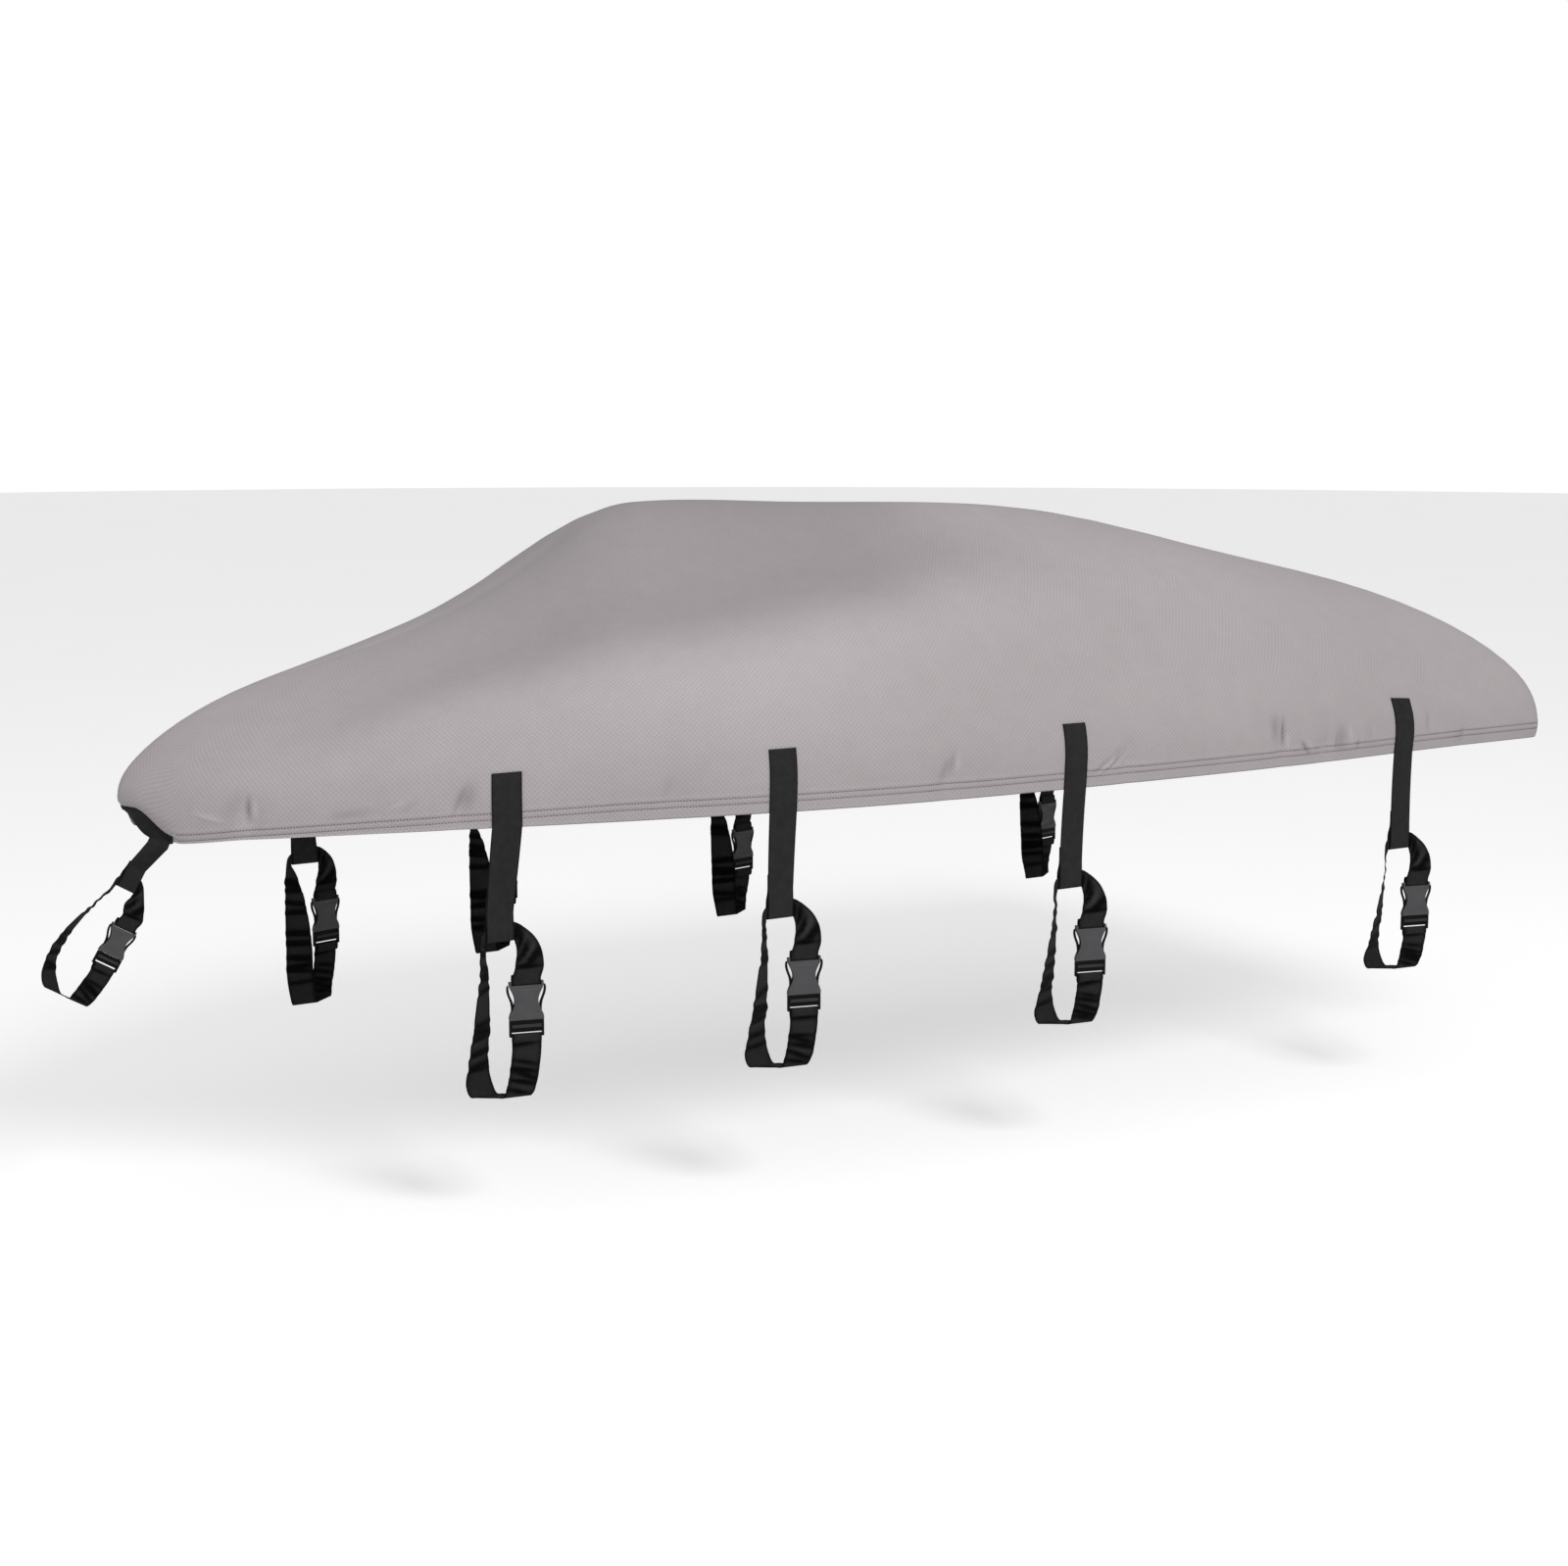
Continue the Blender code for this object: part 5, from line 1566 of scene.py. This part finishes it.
def add_prong(black):
    """One springy prong, bent and narrowed section by section from a straight block."""
    start, middle, width = PRONG_ROOT
    end = PRONG[-1][0]
    prong = add_block((width, end - start, PRONG_THICK), (middle, (start + end) / 2, 0))
    prong.data.materials.append(black)
    bpy.ops.object.mode_set(mode="EDIT")
    cut_sections(prong, [start + PRONG_BLOCK, *(up for up, _, _ in PRONG[:-1])])
    for up, new_middle, new_width in PRONG:
        shape_section(prong, up, new_width / width, middle, new_middle - middle)
    bpy.ops.object.mode_set(mode="OBJECT")
    round_edges(prong, PRONG_RADIUS, SOFT_EDGE_ANGLE)
    return prong


def buckle_frame(radius, black, grey):
    """The buckle's frame: a plate with a bar for the strap, a rib in a window, painted dark grey as a
    highlight on the black acetal, and two prongs.
    """
    length = FRAME_LENGTH - BUCKLE_GAP
    plate = add_block((BUCKLE_WIDTH, length, FRAME_THICK), (0, -BUCKLE_GAP - length / 2, 0))
    plate.data.materials.append(black)
    round_edges(plate, radius)
    bar = -BUCKLE_GAP - FRAME_LENGTH + BAR_INSET
    open_bar(plate, FRAME_THICK, bar + BAR_WIDTH / 2, FRAME_SLOT, bar, -1)
    parts = [plate]
    for face in (1, -1):
        front = face * FRAME_THICK / 2
        cut_out(plate, WINDOW, (0, WINDOW_MIDDLE, front))
        rib = add_block(RIB, (0, WINDOW_MIDDLE, front - face * RIB_SUNK))
        round_edges(rib, RIB_RADIUS)
        rib.data.materials.append(grey)
        parts.append(rib)
    right = add_prong(black)
    left = right.copy()
    left.data = right.data.copy()
    bpy.context.scene.collection.objects.link(left)
    left.data.transform(Matrix.Scale(-1, 4, (1, 0, 0)))
    left.data.flip_normals()
    bpy.ops.object.select_all(action="DESELECT")
    for part in (*parts, right, left):
        part.select_set(True)
    bpy.context.view_layer.objects.active = plate
    bpy.ops.object.join()
    return plate


def copy_moulding(model, name, place):
    """One copy of a moulding, at its place."""
    mesh = model.data.copy()
    mesh.name = name
    mesh.transform(place)
    piece = new_piece(name, mesh)
    make_active(piece)
    bpy.ops.object.shade_smooth_by_angle(angle=math.radians(SOFT_EDGE_ANGLE))
    return piece


# ------------------------------------------------------------------ operators
class MakeCloth(bpy.types.Operator):
    """Makes the cover's cloth and the two rows of stitches round its hem"""

    bl_idname = "boat_cover.cloth"
    bl_label = "Cloth and hem"

    def execute(self, context):
        settings = context.scene.boat_cover_cloth
        cloth = finish_named("polyester_oxford_cloth", oxford_cloth)
        thread = finish_named("grey_polyester_thread", sewing_thread, settings.thread_colour)
        arcs = line_arcs()
        lines = [cloth_line(arc, PORT) for arc in arcs]
        lines += [cloth_line(arc, STARBOARD) for arc in arcs[-2:0:-1]]
        cover = woven_sheet("cover_cloth", *zip(*lines), cloth, "coated_polyester_cloth", closed=True)
        self.face_outwards(cover)
        thicken(cover, CLOTH, -1, even=True)
        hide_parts("cover")

        pitch = settings.stitch_pitch
        stitches = Stitches(pitch * HEM_STITCH_SHARE, HEM_THREAD)
        count = round(PLAN.length / pitch)
        for side in (PORT, STARBOARD):
            for row in STITCH_ROWS:
                for k in range(count):
                    arc = PLAN.length * (k + 0.5) / count
                    if Line(PLAN, arc, side).seams == 1:
                        before, after = (
                            Line(PLAN, arc + shift * pitch, side)
                            for shift in (-STITCH_SPAN, STITCH_SPAN)
                        )
                        start, end = before.at_seam(row), after.at_seam(row)
                        stitches.add(start.lerp(end, 0.5), end - start, after.away)
        rows = stitches.finish("hem_stitches", thread, "coated_polyester_cloth")
        return {"FINISHED"}

    @staticmethod
    def face_outwards(cover):
        """Turns the cloth's faces to its outer side, where the roof's look up."""
        shape = bmesh.new()
        shape.from_mesh(cover.data)
        bmesh.ops.recalc_face_normals(shape, faces=shape.faces)
        if sum(face.normal.z * face.calc_area() for face in shape.faces) < 0:
            bmesh.ops.reverse_faces(shape, faces=shape.faces)
        shape.to_mesh(cover.data)
        shape.free()


class MakeUpperStraps(bpy.types.Operator):
    """Makes the nine upper straps, their sleeves, and the stitches that hold them to the cloth"""

    bl_idname = "boat_cover.upper_straps"
    bl_label = "Upper straps"

    def execute(self, context):
        settings = context.scene.boat_cover_webbing
        web = finish_named("polypropylene_webbing", webbing)
        thread = finish_named("black_polyester_thread", sewing_thread, settings.thread_colour)
        for tie in tie_downs():
            scale = tie.hang.scale
            weave, length = strap_weave(tie.rows, scale)
            name = f"upper_strap_{tie.label}"
            strap = woven_sheet(name, tie.rows, weave, None, web, "black_webbing")
            thicken(strap, WEB * scale, 0)
            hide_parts(f"strap_{tie.label}")

            stitches = Stitches(WEB_STITCH * scale, WEB_THREAD * scale)
            lengths = [pairs[0][0] * scale for pairs in weave]
            # The face that looks outward, taken near the strap's upper end
            face = 1 if face_normal(tie.rows, 2, STRAP_COLUMNS // 2).dot(tie.hang.out) > 0 else -1
            if tie.label != "bow":
                for start, end in STRAP_STITCHES:
                    sew_line(stitches, tie, lengths, start, end, face, STRAP_STITCH_PITCH)
            bottom = self.sleeve_bottom(tie, lengths) / scale
            for up in SLEEVE_STITCHES_UP:
                start, end = ((bottom - up, side * STITCHED_HALF_WIDTH) for side in (-1, 1))
                sew_line(stitches, tie, lengths, start, end, face, STRAP_STITCH_PITCH * scale)
            seams = stitches.finish(f"strap_stitches_{tie.label}", thread, "black_webbing")
        return {"FINISHED"}

    @staticmethod
    def sleeve_bottom(tie, lengths):
        """How far down the strap its sleeve's lower edge is."""
        middle = STRAP_COLUMNS // 2
        depths = [(row[middle] - tie.hang.origin).dot(tie.hang.down) for row in tie.rows]
        return lengths[depths.index(max(depths))]


class MakeLoopStraps(bpy.types.Operator):
    """Makes the nine loop straps, with their gathers and creases"""

    bl_idname = "boat_cover.loop_straps"
    bl_label = "Loop straps"

    def execute(self, context):
        settings = context.scene.boat_cover_webbing
        web = finish_named("polypropylene_webbing", webbing)
        for turn, tie in enumerate(tie_downs()):
            scale = tie.hang.scale
            rows, first = loop_rows(tie.hang, tie.drop)
            rows, marks = smooth_rows(rows, ROW / 2 * scale)
            rows, tones = crease_loop(rows, marks, first, scale, settings.crease_depth, turn)
            weave, length = strap_weave(rows, scale)
            name = f"loop_strap_{tie.label}"
            loop = woven_sheet(name, rows, weave, tones, web, "black_webbing")
            thicken(loop, WEB * scale, 0)
            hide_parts(f"loop_{tie.label}")
        return {"FINISHED"}


class MakeBuckles(bpy.types.Operator):
    """Makes one side-release buckle and copies it to each tie-down"""

    bl_idname = "boat_cover.buckles"
    bl_label = "Buckles"

    def execute(self, context):
        settings = context.scene.boat_cover_buckle
        # The rib's finish is the black acetal painted lighter: a painted highlight
        grey, black, rib_highlight = (
            finish_named(name, moulded_acetal, colour, roughness, shine)
            for name, colour, roughness, shine in (
                ("grey_moulded_acetal", settings.body_colour, 0.45, 0.5),
                ("black_moulded_acetal", settings.frame_colour, 0.38, 0.12),
                ("dark_grey_moulded_acetal", settings.rib_highlight_colour, 0.38, 0.3),
            )
        )
        body_model = buckle_body(settings.edge_radius, grey)
        frame_model = buckle_frame(settings.edge_radius, black, rib_highlight)
        for tie in tie_downs():
            place = tie.hang.buckle_place()
            name = f"buckle_body_{tie.label}"
            body = copy_moulding(body_model, name, place)
            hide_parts(f"buckle_{tie.label}")
            name = f"buckle_frame_{tie.label}"
            plug = copy_moulding(frame_model, name, place)
            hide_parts(f"tongue_{tie.label}")
        for model in (body_model, frame_model):
            bpy.data.objects.remove(model)
        return {"FINISHED"}


class MakeStage(bpy.types.Operator):
    """Makes the floor, the soft light and the camera"""

    bl_idname = "boat_cover.stage"
    bl_label = "Studio"

    def execute(self, context):
        scene = context.scene
        settings = scene.boat_cover_studio
        bpy.ops.object.select_all(action="DESELECT")
        bpy.ops.mesh.primitive_circle_add(
            vertices=FLOOR_SIDES,
            radius=FLOOR_RADIUS,
            fill_type="NGON",
            location=(0, 0, settings.floor_height),
        )
        bpy.ops.object.transform_apply()
        floor = context.active_object
        floor.name = "floor"
        floor.data.materials.append(finish_named("painted_floor", painted_floor, settings.floor_colour))

        scene.world = bpy.data.worlds.new("soft_studio")
        scene.world.use_nodes = True
        tree = scene.world.node_tree
        # The backdrop is plain white, and lights the cover less brightly than it shows.
        seen = add_node(tree, "ShaderNodeLightPath").outputs["Is Camera Ray"]
        level = add_node(tree, "ShaderNodeMix", {0: seen, 2: settings.ambient, 3: 1.0})
        fill_inputs(tree.nodes["Background"], {"Color": (1.0, 1.0, 1.0, 1.0), "Strength": level})

        for name, place, aim, size, share in LIGHTS:
            light = bpy.data.lights.new(name, "AREA")
            light.shape = "DISK"
            light.size = size
            light.energy = settings.key_power * share
            lamp = self.add_to_scene(name, light)
            lamp.location = place
            lamp.rotation_euler = (Vector(aim) - Vector(place)).to_track_quat("-Z", "Y").to_euler()

        camera = bpy.data.cameras.new("camera")
        camera.sensor_width = SENSOR_WIDTH
        camera.lens = settings.lens
        camera.clip_end = SEEN_TO
        viewer = self.add_to_scene("camera", camera)
        sin, cos, level = math.sin(CAMERA_TURN), math.cos(CAMERA_TURN), math.cos(CAMERA_DIP)
        forward = Vector((sin * level, cos * level, -math.sin(CAMERA_DIP)))
        right = Vector((cos, -sin, 0))
        place = Matrix((right, right.cross(forward), -forward)).transposed().to_4x4()
        place.translation = CAMERA_PLACE
        viewer.matrix_world = place
        scene.camera = viewer
        scene.view_settings.view_transform = "Standard"
        return {"FINISHED"}

    @staticmethod
    def add_to_scene(name, data):
        """Puts a light or a camera in the scene."""
        added = bpy.data.objects.new(name, data)
        bpy.context.scene.collection.objects.link(added)
        return added


class CoverPanel(bpy.types.Panel):
    """The cover's pieces and their settings, in the sidebar of the 3D view"""

    bl_idname = "VIEW3D_PT_boat_cover"
    bl_label = "Boat cover"
    bl_space_type = "VIEW_3D"
    bl_region_type = "UI"
    bl_category = "Boat cover"

    def draw(self, context):
        for name, (group, *operators) in GROUPS.items():
            box = self.layout.box()
            for setting in group.__annotations__:
                box.prop(getattr(context.scene, name), setting)
            for operator in operators:
                box.operator(operator.bl_idname)


# The name of each group of settings in the scene, the group, and the operators that use it
GROUPS = {
    "boat_cover_cloth": (ClothSettings, MakeCloth),
    "boat_cover_webbing": (WebbingSettings, MakeUpperStraps, MakeLoopStraps),
    "boat_cover_buckle": (BuckleSettings, MakeBuckles),
    "boat_cover_studio": (StudioSettings, MakeStage),
}
CLASSES = [*(part for parts in GROUPS.values() for part in parts), CoverPanel]


def register():
    for part in CLASSES:
        bpy.utils.register_class(part)
    for name, (group, *_) in GROUPS.items():
        setattr(bpy.types.Scene, name, PointerProperty(type=group))


def unregister():
    for name in GROUPS:
        delattr(bpy.types.Scene, name)
    for part in reversed(CLASSES):
        bpy.utils.unregister_class(part)


def main():
    register()
    bpy.ops.boat_cover.cloth()
    bpy.ops.boat_cover.upper_straps()
    bpy.ops.boat_cover.loop_straps()
    bpy.ops.boat_cover.buckles()
    bpy.ops.boat_cover.stage()


if __name__ == "__main__":
    main()
